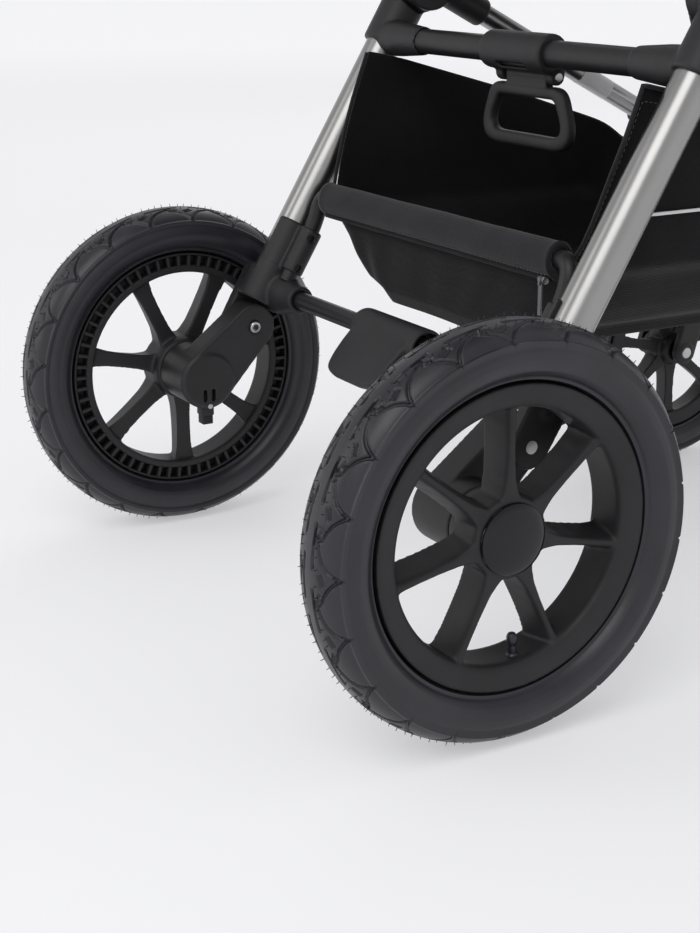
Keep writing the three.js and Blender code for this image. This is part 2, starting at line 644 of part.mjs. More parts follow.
function backBoard(halfX, low, high, behind, front) {
  const geometry = new THREE.BoxGeometry(2 * halfX, high - low, front - behind);
  geometry.translate(0, (low + high) / 2, (front + behind) / 2).rotateX(BACK_LEAN);
  return solid(geometry.translate(0, SEAT_PIVOT.y, SEAT_PIVOT.z));
}
const backFrame = join(
  ...[-1, 1].map((side) => crossRod(SEAT_PIVOT, 22, side * 146, side * 167.4)),
  bentRod([
    onBack(BACK_TUBE_X, 0),
    onBack(BACK_TUBE_X, BACK_LENGTH),
    onBack(-BACK_TUBE_X, BACK_LENGTH),
    onBack(-BACK_TUBE_X, 0),
  ], 9, 50, 8),
  backBoard(147, 60, BACK_LENGTH - 4, -4, 2),
  ...[-1, 1].flatMap((side) => [
    crossRod(hoodHinge, 10, side * 145, side * 161),
    crossRod(hoodHinge, 4, side * 160, side * 181, 12),
  ]),
);
addPiece('backrest_frame', backFrame, finish.blackTube);
addPiece('backrest_pad', backBoard(138, 62, BACK_LENGTH - 14, 9.5, 38), finish.fabric);

const lever = join(
  backBoard(30, BACK_LENGTH - 70, BACK_LENGTH - 46, -20, -4 - GAP),
  backBoard(22, BACK_LENGTH - 90, BACK_LENGTH - 60, -20, -14),
);
addPiece('recline_lever', lever, finish.plastic);

const legRestTurn = Math.atan2(-0.94, -0.34);
function legRestBoard(halfX, low, high, behind, front) {
  const geometry = new THREE.BoxGeometry(2 * halfX, high - low, front - behind);
  geometry.translate(0, (low + high) / 2, (front + behind) / 2).rotateX(legRestTurn);
  return solid(geometry.translate(0, LEG_REST_HINGE.y, LEG_REST_HINGE.z));
}
const legRest = join(
  crossRod(LEG_REST_HINGE, 8, -148, 148, 16),
  legRestBoard(148, 0, LEG_REST_LENGTH, -5, 5),
);
addPiece('leg_rest', legRest, finish.plastic);

const bumperPath = [
  at(BUMPER_X, BUMPER_PIVOT.y, BUMPER_PIVOT.z),
  at(BUMPER_X, -430, 712),
  at(BUMPER_X - 40, -505, 722),
  at(-BUMPER_X + 40, -505, 722),
  at(-BUMPER_X, -430, 712),
  at(-BUMPER_X, BUMPER_PIVOT.y, BUMPER_PIVOT.z),
];
const bumper = cut(
  join(
    bentRod(bumperPath, 9, 30, 8),
    crossRod(BUMPER_PIVOT, 13, 183, 203),
    crossRod(BUMPER_PIVOT, 13, -203, -183),
  ),
  crossRod(BUMPER_PIVOT, 5 + PLAY, -199.5, -170, 16),
  crossRod(BUMPER_PIVOT, 5 + PLAY, 170, 199.5, 16),
);
addPiece('bumper_bar', bumper, finish.leather);

// ---------------------------------------------------------------- hood
const onHood = (x, angle, reach) => at(
  x, hoodHinge.y + reach * Math.cos(angle), hoodHinge.z + reach * Math.sin(angle),
);
function hoodBow(angle, halfX) {
  const tube = bentRod([
    onHood(halfX, angle, 0),
    onHood(halfX, angle, HOOD_RADIUS),
    onHood(-halfX, angle, HOOD_RADIUS),
    onHood(-halfX, angle, 0),
  ], 4.5, 60, 8);
  const eyes = [-1, 1].map((side) => crossRod(hoodHinge, 9, side * (halfX - 4.5), side * (halfX + 4.5)));
  return cut(join(tube, ...eyes), crossRod(hoodHinge, 4 + PLAY, -200, 200, 12));
}
addPiece('hood_bow_front', hoodBow(HOOD_FRONT_ANGLE, HOOD_BOW_X.front), finish.blackTube);
addPiece('hood_bow_middle', hoodBow(HOOD_MID_ANGLE, HOOD_BOW_X.middle), finish.blackTube);

const hoodStart = THREE.MathUtils.degToRad(58);
const hoodEnd = HOOD_FRONT_ANGLE + 0.06;
function hoodFan(inner, outer) {
  const shape = new THREE.Shape();
  shape.absarc(hoodHinge.y, hoodHinge.z, outer, hoodStart, hoodEnd, false);
  shape.absarc(hoodHinge.y, hoodHinge.z, inner, hoodEnd, hoodStart, true);
  return shape;
}
const canopy = join(
  sideBoard(hoodFan(HOOD_RADIUS + 7, HOOD_RADIUS + 10), -HOOD_SIDE_X - 3, HOOD_SIDE_X + 3, 8),
  sideBoard(hoodFan(25, HOOD_RADIUS + 8), HOOD_SIDE_X, HOOD_SIDE_X + 3, 8),
  sideBoard(hoodFan(25, HOOD_RADIUS + 8), -HOOD_SIDE_X - 3, -HOOD_SIDE_X, 8),
);
addPiece('hood_canopy', canopy, finish.fabric);

// ---------------------------------------------------------------- basket
// Tub with a wide open top: a box whose lower corners are drawn in.
const { floorZ, rimZ, floorHalf, rimHalf, floorRear, floorFront, rimRear, rimFront } = BASKET;
function tub(inset, topRaise) {
  const geometry = new THREE.BoxGeometry(2, 2, 2);
  const place = geometry.getAttribute('position');
  for (let i = 0; i < place.count; i += 1) {
    const isTop = place.getZ(i) > 0;
    const isRear = place.getY(i) > 0;
    const half = (isTop ? rimHalf : floorHalf) - inset;
    const rear = (isTop ? rimRear : floorRear) - inset;
    const front = (isTop ? rimFront : floorFront) + inset;
    const level = isTop ? rimZ + topRaise : floorZ + inset;
    place.setXYZ(i, Math.sign(place.getX(i)) * half, isRear ? rear : front, level);
  }
  return solid(geometry);
}
const sidePanel = outline([
  [-126, 296], [-140, 325], [-201, 428], [-300, 402], [-458, 352], [-458, 340], [-450, 296],
]);
const { sleeveRadius, sleeveHalf } = BASKET_BAR;
const { wall, panelHalf } = BASKET;
const basket = cut(
  join(
    cut(tub(0, 0), tub(wall, 0.5)),
    sideBoard(sidePanel, panelHalf - wall, panelHalf),
    sideBoard(sidePanel, -panelHalf, wall - panelHalf),
    block(1 - panelHalf, panelHalf - 1, rimFront - wall, rimFront + GAP, rimZ - wall, rimZ + 46),
    block(-sleeveHalf, sleeveHalf, rimRear - wall, rimRear + 1, rimZ - 4, rimZ + 12),
    crossRod(BASKET_BAR, sleeveRadius, -sleeveHalf, sleeveHalf),
  ),
  crossRod(BASKET_BAR, BASKET_BAR.radius + GAP, -sleeveHalf - 3, sleeveHalf + 3),
);
addPiece('basket', basket, finish.fabric);

export default stroller;
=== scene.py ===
"""Looks of the baby stroller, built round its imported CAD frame.

Metres, +Z up, -Y forward, +X the stroller's left. Places inside the functions are in millimetres from the
floor under the middle of the rear axle, and side view places are (y, z) pairs.
"""
import json
import math

import bmesh
import bpy
import numpy as np
from mathutils import Matrix, Vector


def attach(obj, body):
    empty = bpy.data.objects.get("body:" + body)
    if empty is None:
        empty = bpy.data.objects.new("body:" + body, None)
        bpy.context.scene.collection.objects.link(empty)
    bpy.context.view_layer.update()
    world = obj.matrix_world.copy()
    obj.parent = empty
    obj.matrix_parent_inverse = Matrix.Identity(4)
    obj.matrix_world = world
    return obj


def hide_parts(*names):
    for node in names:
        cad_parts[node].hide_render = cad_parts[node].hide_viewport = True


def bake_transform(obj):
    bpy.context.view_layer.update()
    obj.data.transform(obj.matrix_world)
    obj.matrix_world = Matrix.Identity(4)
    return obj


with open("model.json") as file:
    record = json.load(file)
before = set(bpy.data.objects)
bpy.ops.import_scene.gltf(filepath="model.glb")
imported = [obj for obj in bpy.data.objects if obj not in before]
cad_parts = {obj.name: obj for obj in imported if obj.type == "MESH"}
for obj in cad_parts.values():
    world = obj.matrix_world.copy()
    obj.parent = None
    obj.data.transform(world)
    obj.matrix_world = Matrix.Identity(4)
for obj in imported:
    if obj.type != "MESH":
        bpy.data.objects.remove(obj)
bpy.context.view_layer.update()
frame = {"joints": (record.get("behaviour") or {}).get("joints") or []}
RNG = np.random.default_rng(7)
MM = 0.001
SIDES = (("left", 1.0), ("right", -1.0))
JOINT_AT = {j["name"]: Vector(j["pos_m"]) for j in frame["joints"] if "pos_m" in j}

# ---------------------------------------------------------------- places taken from the frame
REAR_AXLE = JOINT_AT["rear_wheel_spin_left"]
HOOD = JOINT_AT["hood_fold"]
AXLE_Y = REAR_AXLE.y

# ---------------------------------------------------------------- side view places, (y, z) in mm
AXLE = (0, 150)
FRONT_AXLE = (-530, 120)
ARM_PIVOT = (-48, 195)
AXLE_TUBE = (-80, 222)
BRAKE_PIN = (-77, 219)      # the brake pins slide out between two ribs of the rim
CROSSBAR = (-200, 450)
PULL_HINGE = (-208, 431)
MAIN_PIVOT = (-233, 502)
SEAT_PIVOT = (-235, 575)
BUMPER_PIVOT = (-292, 622)
LEG_REST_PIVOT = (-474, 556)
FRONT_BAR = (-517, 352)

# ---------------------------------------------------------------- camera, floor and light
CAMERA_FROM_AXLE = Vector((-1.1521, 0.6225, 0.3936))   # from the middle of the rear axle
CAMERA_YAW = math.radians(-29.524)                      # view direction, from +X towards +Y
CAMERA_PITCH = math.radians(-16.460)
CAMERA_ROLL = math.radians(-0.124)
LENS = 64.446
SHIFT = (0.0070, -0.0430)
WALL_COLOUR = (0.88, 0.88, 0.895)     # the room near the horizon, behind the floor
CEILING_COLOUR = (0.56, 0.56, 0.575)
WALL_TOP = 0.12                        # height of the view direction where the wall turns to ceiling
CEILING_FROM = 0.5
KEY_POWER, SIDE_POWER, RIM_POWER = 52, 16, 10
FLOOR_GLOW = (0.405, 0.545)             # how far the floor lights its own shadows, near and far
FLOOR_NEAR, FLOOR_FAR = 2.0, 7.0


def add_camera():
    data = bpy.data.cameras.new("camera")
    data.lens = LENS
    data.sensor_width = 36
    data.shift_x, data.shift_y = SHIFT
    data.clip_end = 60
    camera = bpy.data.objects.new("camera", data)
    bpy.context.scene.collection.objects.link(camera)
    look = Vector((
        math.cos(CAMERA_PITCH) * math.cos(CAMERA_YAW),
        math.cos(CAMERA_PITCH) * math.sin(CAMERA_YAW),
        math.sin(CAMERA_PITCH),
    ))
    turn = look.to_track_quat("-Z", "Y").to_matrix().to_4x4()
    axle = Vector((0, AXLE_Y, REAR_AXLE.z))
    roll = Matrix.Rotation(CAMERA_ROLL, 4, "Z")
    camera.matrix_world = Matrix.Translation(axle + CAMERA_FROM_AXLE) @ turn @ roll
    bpy.context.scene.camera = camera


def add_area_light(name, place, target, size, power):
    data = bpy.data.lights.new(name, "AREA")
    data.shape = "RECTANGLE"
    data.size, data.size_y = size
    data.energy = power
    lamp = bpy.data.objects.new(name, data)
    lamp.location = place
    aim = Vector(target) - Vector(place)
    lamp.rotation_euler = aim.to_track_quat("-Z", "Y").to_euler()
    bpy.context.scene.collection.objects.link(lamp)


def add_studio():
    bpy.context.scene.view_settings.view_transform = "Standard"
    world = bpy.data.worlds.new("studio")
    world.use_nodes = True
    tree = world.node_tree
    level = node(tree, "ShaderNodeSeparateXYZ")
    tree.links.new(node(tree, "ShaderNodeTexCoord").outputs["Generated"], level.inputs["Vector"])
    tone = node(tree, "ShaderNodeValToRGB")
    tone.color_ramp.elements[0].position = WALL_TOP
    tone.color_ramp.elements[0].color = (*WALL_COLOUR, 1)
    tone.color_ramp.elements[1].position = CEILING_FROM
    tone.color_ramp.elements[1].color = (*CEILING_COLOUR, 1)
    tree.links.new(level.outputs["Z"], tone.inputs["Fac"])
    tree.links.new(tone.outputs["Color"], tree.nodes["Background"].inputs["Color"])
    bpy.context.scene.world = world
    middle = (0, 0, 0.35)
    add_area_light("key", (-1.6, 2.2, 3.2), middle, (2.6, 2.6), KEY_POWER)
    add_area_light("side", (1.4, 3.2, 1.7), middle, (1.2, 2.2), SIDE_POWER)
    add_area_light("rim", (2.6, -1.8, 2.4), middle, (1.4, 2.4), RIM_POWER)
    plane = bpy.data.meshes.new("floor")
    half = 14
    corners = [(-half, -half, 0), (half, -half, 0), (half, half, 0), (-half, half, 0)]
    plane.from_pydata(corners, [], [(0, 1, 2, 3)])
    floor = bpy.data.objects.new("floor", plane)
    bpy.context.scene.collection.objects.link(floor)
    plane.materials.append(floor_material())


# ---------------------------------------------------------------- materials
def new_material(name, colour, roughness, metallic=0.0):
    made = bpy.data.materials.new(name)
    made.use_nodes = True
    shader = made.node_tree.nodes["Principled BSDF"]
    shader.inputs["Base Color"].default_value = (*colour, 1)
    shader.inputs["Roughness"].default_value = roughness
    shader.inputs["Metallic"].default_value = metallic
    return made, made.node_tree, shader


def node(tree, kind, **values):
    made = tree.nodes.new(kind)
    for key, value in values.items():
        if key in made.inputs:
            made.inputs[key].default_value = value
        else:
            setattr(made, key, value)
    return made


def coordinates(tree, scale=(1, 1, 1), turn=(0, 0, 0)):
    source = node(tree, "ShaderNodeTexCoord")
    mapping = node(tree, "ShaderNodeMapping")
    mapping.inputs["Scale"].default_value = scale
    mapping.inputs["Rotation"].default_value = turn
    tree.links.new(source.outputs["Object"], mapping.inputs["Vector"])
    return mapping.outputs["Vector"]


def noise(tree, vector, scale, detail=4.0, roughness=0.55):
    made = node(tree, "ShaderNodeTexNoise", Scale=scale, Detail=detail, Roughness=roughness)
    tree.links.new(vector, made.inputs["Vector"])
    return made.outputs["Fac"]


def blend_colour(tree, factor, dark, light):
    ramp = node(tree, "ShaderNodeValToRGB")
    ramp.color_ramp.elements[0].position = 0.3
    ramp.color_ramp.elements[1].position = 0.7
    ramp.color_ramp.elements[0].color = (*dark, 1)
    ramp.color_ramp.elements[1].color = (*light, 1)
    tree.links.new(factor, ramp.inputs["Fac"])
    return ramp.outputs["Color"]


def spread(tree, factor, low, high):
    made = node(tree, "ShaderNodeMapRange")
    made.inputs["To Min"].default_value = low
    made.inputs["To Max"].default_value = high
    tree.links.new(factor, made.inputs["Value"])
    return made.outputs["Result"]


def bump(tree, shader, height, strength, distance, under=None):
    made = node(tree, "ShaderNodeBump", Strength=strength, Distance=distance)
    tree.links.new(height, made.inputs["Height"])
    if under is not None:
        tree.links.new(under, made.inputs["Normal"])
    tree.links.new(made.outputs["Normal"], shader.inputs["Normal"])
    return made.outputs["Normal"]


def floor_material():
    made, tree, shader = new_material("studio_floor", (0.57, 0.57, 0.58), 0.75)
    vector = coordinates(tree)
    tone = noise(tree, vector, 1.4, 3)
    colour = blend_colour(tree, tone, (0.565, 0.565, 0.576), (0.572, 0.572, 0.583))
    tree.links.new(colour, shader.inputs["Base Color"])
    shader.inputs["Specular IOR Level"].default_value = 0.1
    shader.inputs["Emission Color"].default_value = (1.0, 1.0, 1.015, 1)
    away = node(tree, "ShaderNodeVectorMath", operation="LENGTH")
    tree.links.new(vector, away.inputs[0])
    glow = spread(tree, away.outputs["Value"], *FLOOR_GLOW)
    glow.node.inputs["From Min"].default_value = FLOOR_NEAR
    glow.node.inputs["From Max"].default_value = FLOOR_FAR
    tree.links.new(glow, shader.inputs["Emission Strength"])
    return made


def plastic_material(name, dark, light, roughness=(0.46, 0.6), grain=2600, depth=0.00006):
    """Moulded plastic: fine spark-eroded grain over a coarser one, and a cloudy gloss."""
    made, tree, shader = new_material(name, light, roughness[0])
    vector = coordinates(tree)
    cloud = noise(tree, vector, 22, 5)
    tree.links.new(blend_colour(tree, cloud, dark, light), shader.inputs["Base Color"])
    tree.links.new(spread(tree, noise(tree, vector, 60, 4), *roughness), shader.inputs["Roughness"])
    fine = noise(tree, vector, grain, 2)
    coarse = noise(tree, vector, 420, 2)
    first = bump(tree, shader, coarse, 0.35, depth * 2)
    bump(tree, shader, fine, 0.6, depth, first)
    shader.inputs["Specular IOR Level"].default_value = 0.36
    return made


def rubber_material():
    """Tyre rubber: bluish black, with random dusty patches, and fine mould lines."""
    made, tree, shader = new_material("tyre_rubber", (0.015, 0.015, 0.02), 0.6)
    vector = coordinates(tree)
    dust = noise(tree, vector, 26, 6)
    colour = blend_colour(tree, dust, (0.009, 0.0088, 0.013), (0.0165, 0.0162, 0.0235))
    tree.links.new(colour, shader.inputs["Base Color"])
    tree.links.new(spread(tree, noise(tree, vector, 90, 4), 0.29, 0.46), shader.inputs["Roughness"])
    first = bump(tree, shader, noise(tree, vector, 300, 3), 0.3, 0.0002)
    bump(tree, shader, noise(tree, vector, 2200, 2), 0.5, 0.00006, first)
    shader.inputs["Specular IOR Level"].default_value = 0.5
    shader.inputs["Sheen Weight"].default_value = 0.02
    shader.inputs["Sheen Roughness"].default_value = 0.5
    return made


def metal_material(name, colour, roughness, tilt=0.0, strength=0.05):
    """Drawn and anodised metal: long fine streaks along the tube and small cloudy patches.

    tilt turns the streaks about X, from upright to the tube's own direction.
    """
    made, tree, shader = new_material(name, colour, roughness, 1.0)
    upright = coordinates(tree, turn=(tilt, 0, 0))
    squeeze = node(tree, "ShaderNodeMapping")
    squeeze.inputs["Scale"].default_value = (1, 1, 0.012)
    tree.links.new(upright, squeeze.inputs["Vector"])
    lines = noise(tree, squeeze.outputs["Vector"], 1500, 3)
    cloud = noise(tree, coordinates(tree), 30, 4)
    tint = tuple(0.95 * c for c in colour)
    tree.links.new(blend_colour(tree, cloud, tint, colour), shader.inputs["Base Color"])
    tree.links.new(spread(tree, lines, roughness * 0.94, roughness * 1.07), shader.inputs["Roughness"])
    bump(tree, shader, lines, strength, 0.00002)
    return made


def fabric_material(name, dark, light, pitch=1250.0, turn=(0, 0, 0), sheen=0.25, depth=0.0002):
    """Woven polyester: two crossed sets of threads, uneven dye, and a soft sheen."""
    made, tree, shader = new_material(name, light, 0.85)
    vector = coordinates(tree, turn=turn)
    threads = []
    for direction in ("X", "Y", "Z"):
        wave = node(tree, "ShaderNodeTexWave", bands_direction=direction, Scale=pitch / 6.283)
        wave.inputs["Distortion"].default_value = 0.6
        wave.inputs["Detail"].default_value = 1.0
        tree.links.new(vector, wave.inputs["Vector"])
        threads.append(wave.outputs["Fac"])
    product = threads[0]
    for other in threads[1:]:
        mix = node(tree, "ShaderNodeMath", operation="ADD")
        tree.links.new(product, mix.inputs[0])
        tree.links.new(other, mix.inputs[1])
        product = mix.outputs["Value"]
    shade = noise(tree, vector, 14, 6)
    tree.links.new(blend_colour(tree, shade, dark, light), shader.inputs["Base Color"])
    tree.links.new(spread(tree, noise(tree, vector, 500, 3), 0.75, 0.95), shader.inputs["Roughness"])
    first = bump(tree, shader, noise(tree, vector, 60, 5), 0.25, 0.0012)
    bump(tree, shader, product, 0.5, depth, first)
    shader.inputs["Sheen Weight"].default_value = sheen
    shader.inputs["Sheen Roughness"].default_value = 0.45
    shader.inputs["Specular IOR Level"].default_value = 0.15
    return made


def leather_material():
    made, tree, shader = new_material("grip_leather", (0.022, 0.02, 0.019), 0.5)
    vector = coordinates(tree)
    cells = node(tree, "ShaderNodeTexVoronoi", Scale=900.0, feature="DISTANCE_TO_EDGE")
    tree.links.new(vector, cells.inputs["Vector"])
    colour = blend_colour(tree, noise(tree, vector, 40, 5), (0.016, 0.015, 0.014), (0.028, 0.026, 0.025))
    tree.links.new(colour, shader.inputs["Base Color"])
    tree.links.new(spread(tree, noise(tree, vector, 160, 4), 0.42, 0.6), shader.inputs["Roughness"])
    bump(tree, shader, cells.outputs["Distance"], 0.5, 0.0003)
    return made


LEG_GRAIN = -math.atan(0.6)
FRONT_LEG_GRAIN = -math.atan2(1, 0.512)
HANDLE_GRAIN = math.atan2(395, 523)
M = {
    "plastic": plastic_material("moulded_black_plastic", (0.011, 0.011, 0.012), (0.016, 0.016, 0.0175)),
    "casting": plastic_material(
        "casting_black_plastic", (0.012, 0.012, 0.013), (0.018, 0.018, 0.0195), roughness=(0.42, 0.55)),
    "gloss": plastic_material(
        "gloss_black_plastic", (0.004, 0.004, 0.005), (0.006, 0.006, 0.0075), roughness=(0.08, 0.14),
        grain=900, depth=0.00001),
    "label": plastic_material("blank_label", (0.62, 0.62, 0.62), (0.7, 0.7, 0.7), roughness=(0.3, 0.4)),
    "rubber": rubber_material(),
    "leg_silver": metal_material("anodised_leg", (0.34, 0.337, 0.33), 0.29, LEG_GRAIN),
    "front_silver": metal_material("anodised_front_leg", (0.36, 0.36, 0.36), 0.3, FRONT_LEG_GRAIN),
    "handle_silver": metal_material("anodised_handle", (0.42, 0.415, 0.405), 0.28, HANDLE_GRAIN),
    "steel": metal_material("zinc_steel", (0.5, 0.5, 0.5), 0.34),
    "dark_steel": metal_material("blackened_steel", (0.16, 0.16, 0.165), 0.36),
    "black_tube": plastic_material(
        "powder_coat_black", (0.008, 0.008, 0.009), (0.012, 0.012, 0.013), roughness=(0.34, 0.46),
        grain=1500, depth=0.00008),
    "fabric": fabric_material("basket_fabric", (0.004, 0.004, 0.0045), (0.008, 0.008, 0.009), sheen=0.1),
    "seat_fabric": fabric_material(
        "seat_fabric", (0.012, 0.012, 0.0138), (0.02, 0.02, 0.0225), pitch=900.0, sheen=0.22),
    "hood_fabric": fabric_material(
        "hood_fabric", (0.0105, 0.0105, 0.012), (0.018, 0.018, 0.02), pitch=1000.0, sheen=0.22),
    "webbing": fabric_material(
        "harness_webbing", (0.013, 0.013, 0.014), (0.024, 0.024, 0.026), pitch=2600.0, depth=0.0003),
    "sleeve_fabric": fabric_material(
        "sleeve_fabric", (0.012, 0.012, 0.0135), (0.019, 0.019, 0.021), sheen=0.15),
    "thread": fabric_material("sewing_thread", (0.05, 0.05, 0.052), (0.07, 0.07, 0.074), pitch=3000.0),
    "piping": fabric_material("reflective_piping", (0.62, 0.62, 0.62), (0.8, 0.8, 0.8), pitch=1500.0),
    "leather": leather_material(),
}


# ---------------------------------------------------------------- mesh helpers
BOX_FACES = ((0, 1, 3, 2), (4, 6, 7, 5), (0, 4, 5, 1), (2, 3, 7, 6), (0, 2, 6, 4), (1, 5, 7, 3))


class Solids:
    """Closed pieces gathered in one mesh, to be shown as they are or fused into one moulding."""

    def __init__(self):
        self.verts = []
        self.faces = []

    def add(self, verts, faces):
        base = len(self.verts)
        self.verts.extend(tuple(v) for v in verts)
        self.faces.extend(tuple(base + i for i in face) for face in faces)
        return self

    def sweep(self, points, radius, sides=24):
        """Round rod through the points; radius is one number or one for each point."""
        points = [Vector(p) for p in points]
        radii = radius if isinstance(radius, (list, tuple)) else [radius] * len(points)
        verts = []
        across = None
        for i, point in enumerate(points):
            along = (points[min(i + 1, len(points) - 1)] - points[max(i - 1, 0)]).normalized()
            if across is None:
                across = along.orthogonal().normalized()
            across = (across - along * across.dot(along)).normalized()
            other = along.cross(across)
            for k in range(sides):
                turn = 2 * math.pi * k / sides
                verts.append(point + (across * math.cos(turn) + other * math.sin(turn)) * radii[i])
        faces = []
        for i in range(len(points) - 1):
            for k in range(sides):
                a, b = i * sides + k, i * sides + (k + 1) % sides
                faces.append((a, b, b + sides, a + sides))
        faces.append(tuple(reversed(range(sides))))
        faces.append(tuple(range((len(points) - 1) * sides, len(points) * sides)))
        return self.add(verts, faces)

    def rod(self, a, b, radius, end_radius=None, sides=40, round_edge=0.0):
        a, b = Vector(a), Vector(b)
        last = radius if end_radius is None else end_radius
        if round_edge <= 0:
            return self.sweep([a, b], [radius, last], sides)
        along = (b - a).normalized()
        steps = 4
        points, radii = [], []
        for i in range(steps + 1):
            turn = math.pi / 2 * i / steps
            points.append(a + along * round_edge * (1 - math.sin(turn)))
            radii.append(radius - round_edge * (1 - math.cos(turn)))
        points.reverse()
        radii.reverse()
        start = list(zip(points, radii))
        start.sort(key=lambda item: (item[0] - a).dot(along))
        finish = [(b - along * (p - a).dot(along), r - radius + last) for p, r in reversed(start)]
        both = start + finish
        return self.sweep([p for p, _ in both], [r for _, r in both], sides)

    def cross_rod(self, middle, radius, x0, x1, sides=48, round_edge=0.0):
        return self.rod((x0, middle.y, middle.z), (x1, middle.y, middle.z), radius, None, sides, round_edge)

    def box(self, low, high):
        (x0, y0, z0), (x1, y1, z1) = low, high
        verts = [(x, y, z) for x in (x0, x1) for y in (y0, y1) for z in (z0, z1)]
        return self.add(verts, BOX_FACES)

    def board(self, outline, x0, x1):
        """Outline of (y, z) points, counter-clockwise seen from +X, from x0 to x1."""
        n = len(outline)
        verts = [(x0, y, z) for y, z in outline] + [(x1, y, z) for y, z in outline]
        faces = [(i, (i + 1) % n, n + (i + 1) % n, n + i) for i in range(n)]
        faces += [tuple(reversed(range(n))), tuple(range(n, 2 * n))]
        return self.add(verts, faces)

    def ring(self, middle, profile, steps=96):
        """Turned piece about the X axis through middle; profile is a closed loop of (x, radius)."""
        n = len(profile)
        verts = []
        for k in range(steps):
            turn = 2 * math.pi * k / steps
            verts += [(x, middle.y + r * math.cos(turn), middle.z + r * math.sin(turn)) for x, r in profile]
        faces = []
        for k in range(steps):
            for i in range(n):
                a, b = k * n + i, k * n + (i + 1) % n
                c = (k + 1) % steps * n
                faces.append((a, b, c + (i + 1) % n, c + i))
        return self.add(verts, faces)


def finish_mesh(name, mesh, look, body, replaces=(), sharp=35.0):
    mesh.name = name
    for face in mesh.polygons:
        face.use_smooth = True
    if sharp:
        mesh.set_sharp_from_angle(angle=math.radians(sharp))
    mesh.materials.clear()
    mesh.materials.append(M[look])
    piece = bpy.data.objects.new(name, mesh)
    bpy.context.scene.collection.objects.link(piece)
    if body:
        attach(piece, body)
    if replaces:
        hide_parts(*([replaces] if isinstance(replaces, str) else replaces))
    return piece


def outward(mesh):
    work = bmesh.new()
    work.from_mesh(mesh)
    bmesh.ops.remove_doubles(work, verts=work.verts, dist=1e-7)
    bmesh.ops.recalc_face_normals(work, faces=work.faces)
    work.to_mesh(mesh)
    work.free()


def plain(name, solids, look, body, replaces=(), bevel=0.0, sharp=35.0):
    """The gathered pieces as they are, with their edges softened."""
    mesh = bpy.data.meshes.new(name)
    mesh.from_pydata(solids.verts, [], solids.faces)
    outward(mesh)
    piece = finish_mesh(name, mesh, look, body, replaces, sharp)
    if bevel:
        soften = piece.modifiers.new("edges", "BEVEL")
        soften.width = bevel
        soften.segments = 3
        soften.limit_method = "ANGLE"
        soften.angle_limit = math.radians(35)
    return piece


def baked(piece):
    """The piece's mesh with its modifiers applied."""
    bpy.context.view_layer.update()
    graph = bpy.context.evaluated_depsgraph_get()
    made = bpy.data.meshes.new_from_object(piece.evaluated_get(graph))
    piece.modifiers.clear()
    piece.data = made
    return made


def cut_out(piece, tools):
    """Cuts the closed tool pieces out of the piece."""
    mesh = bpy.data.meshes.new("tool")
    mesh.from_pydata(tools.verts, [], tools.faces)
    outward(mesh)
    tool = bpy.data.objects.new("tool", mesh)
    bpy.context.scene.collection.objects.link(tool)
    carve = piece.modifiers.new("cut", "BOOLEAN")
    carve.operation = "DIFFERENCE"
    carve.solver = "MANIFOLD"
    carve.object = tool
    baked(piece)
    bpy.data.objects.remove(tool)


def fused_mesh(name, solids, voxel, smooth, cuts=None):
    """One moulding: the pieces joined into one skin, with every inside corner filleted."""
    mesh = bpy.data.meshes.new(name)
    mesh.from_pydata(solids.verts, [], solids.faces)
    outward(mesh)
    piece = bpy.data.objects.new(name, mesh)
    bpy.context.scene.collection.objects.link(piece)
    if cuts is not None:
        skin = piece.modifiers.new("skin0", "REMESH")
        skin.mode = "VOXEL"
        skin.voxel_size = voxel
        baked(piece)
        cut_out(piece, cuts)
    skin = piece.modifiers.new("skin", "REMESH")
    skin.mode = "VOXEL"
    skin.voxel_size = voxel
    relax = piece.modifiers.new("relax", "SMOOTH")
    relax.factor = 0.5
    relax.iterations = smooth
    made = baked(piece)
    bpy.data.objects.remove(piece)
    return made


def arc(middle, radius, start, end, steps):
    """Points on an arc in the (y, z) plane, angles in degrees."""
    turns = [math.radians(start + (end - start) * i / steps) for i in range(steps + 1)]
    return [(middle[0] + radius * math.cos(t), middle[1] + radius * math.sin(t)) for t in turns]


def span(side, a, b):
    """From a to b mm on the left (1), or their mirror image on the right (-1), low end first, in metres."""
    low, high = sorted((side * a, side * b))
    return low * MM, high * MM


def link_outline(a, radius_a, b, radius_b, steps=24):
    direction = math.degrees(math.atan2(b[1] - a[1], b[0] - a[0]))
    spread_angle = math.degrees(math.acos((radius_a - radius_b) / math.hypot(b[0] - a[0], b[1] - a[1])))
    return (arc(a, radius_a, direction + spread_angle, direction - spread_angle + 360, steps)
            + arc(b, radius_b, direction - spread_angle, direction + spread_angle, steps))


def curve_points(points, count):
    """Smooth curve through the points, by centripetal Catmull-Rom."""
    p = [Vector(q) for q in points]
    p = [2 * p[0] - p[1]] + p + [2 * p[-1] - p[-2]]
    made = []
    spans = len(p) - 3
    for i in range(count):
        t = i / (count - 1) * spans
        k = min(int(t), spans - 1)
        u = t - k
        a, b, c, d = p[k:k + 4]
        made.append(0.5 * ((2 * b) + (c - a) * u + (2 * a - 5 * b + 4 * c - d) * u * u
                           + (3 * b - a - 3 * c + d) * u ** 3))
    return made


def bent_points(points, corner, steps=10):
    """Straight runs joined by rounded corners."""
    p = [Vector(q) for q in points]
    made = [p[0]]
    for before, at, after in zip(p, p[1:], p[2:]):
        enter = at + (before - at).normalized() * corner
        leave = at + (after - at).normalized() * corner
        for i in range(steps + 1):
            u = i / steps
            made.append(enter * (1 - u) ** 2 + at * 2 * u * (1 - u) + leave * u * u)
    return made + [p[-1]]


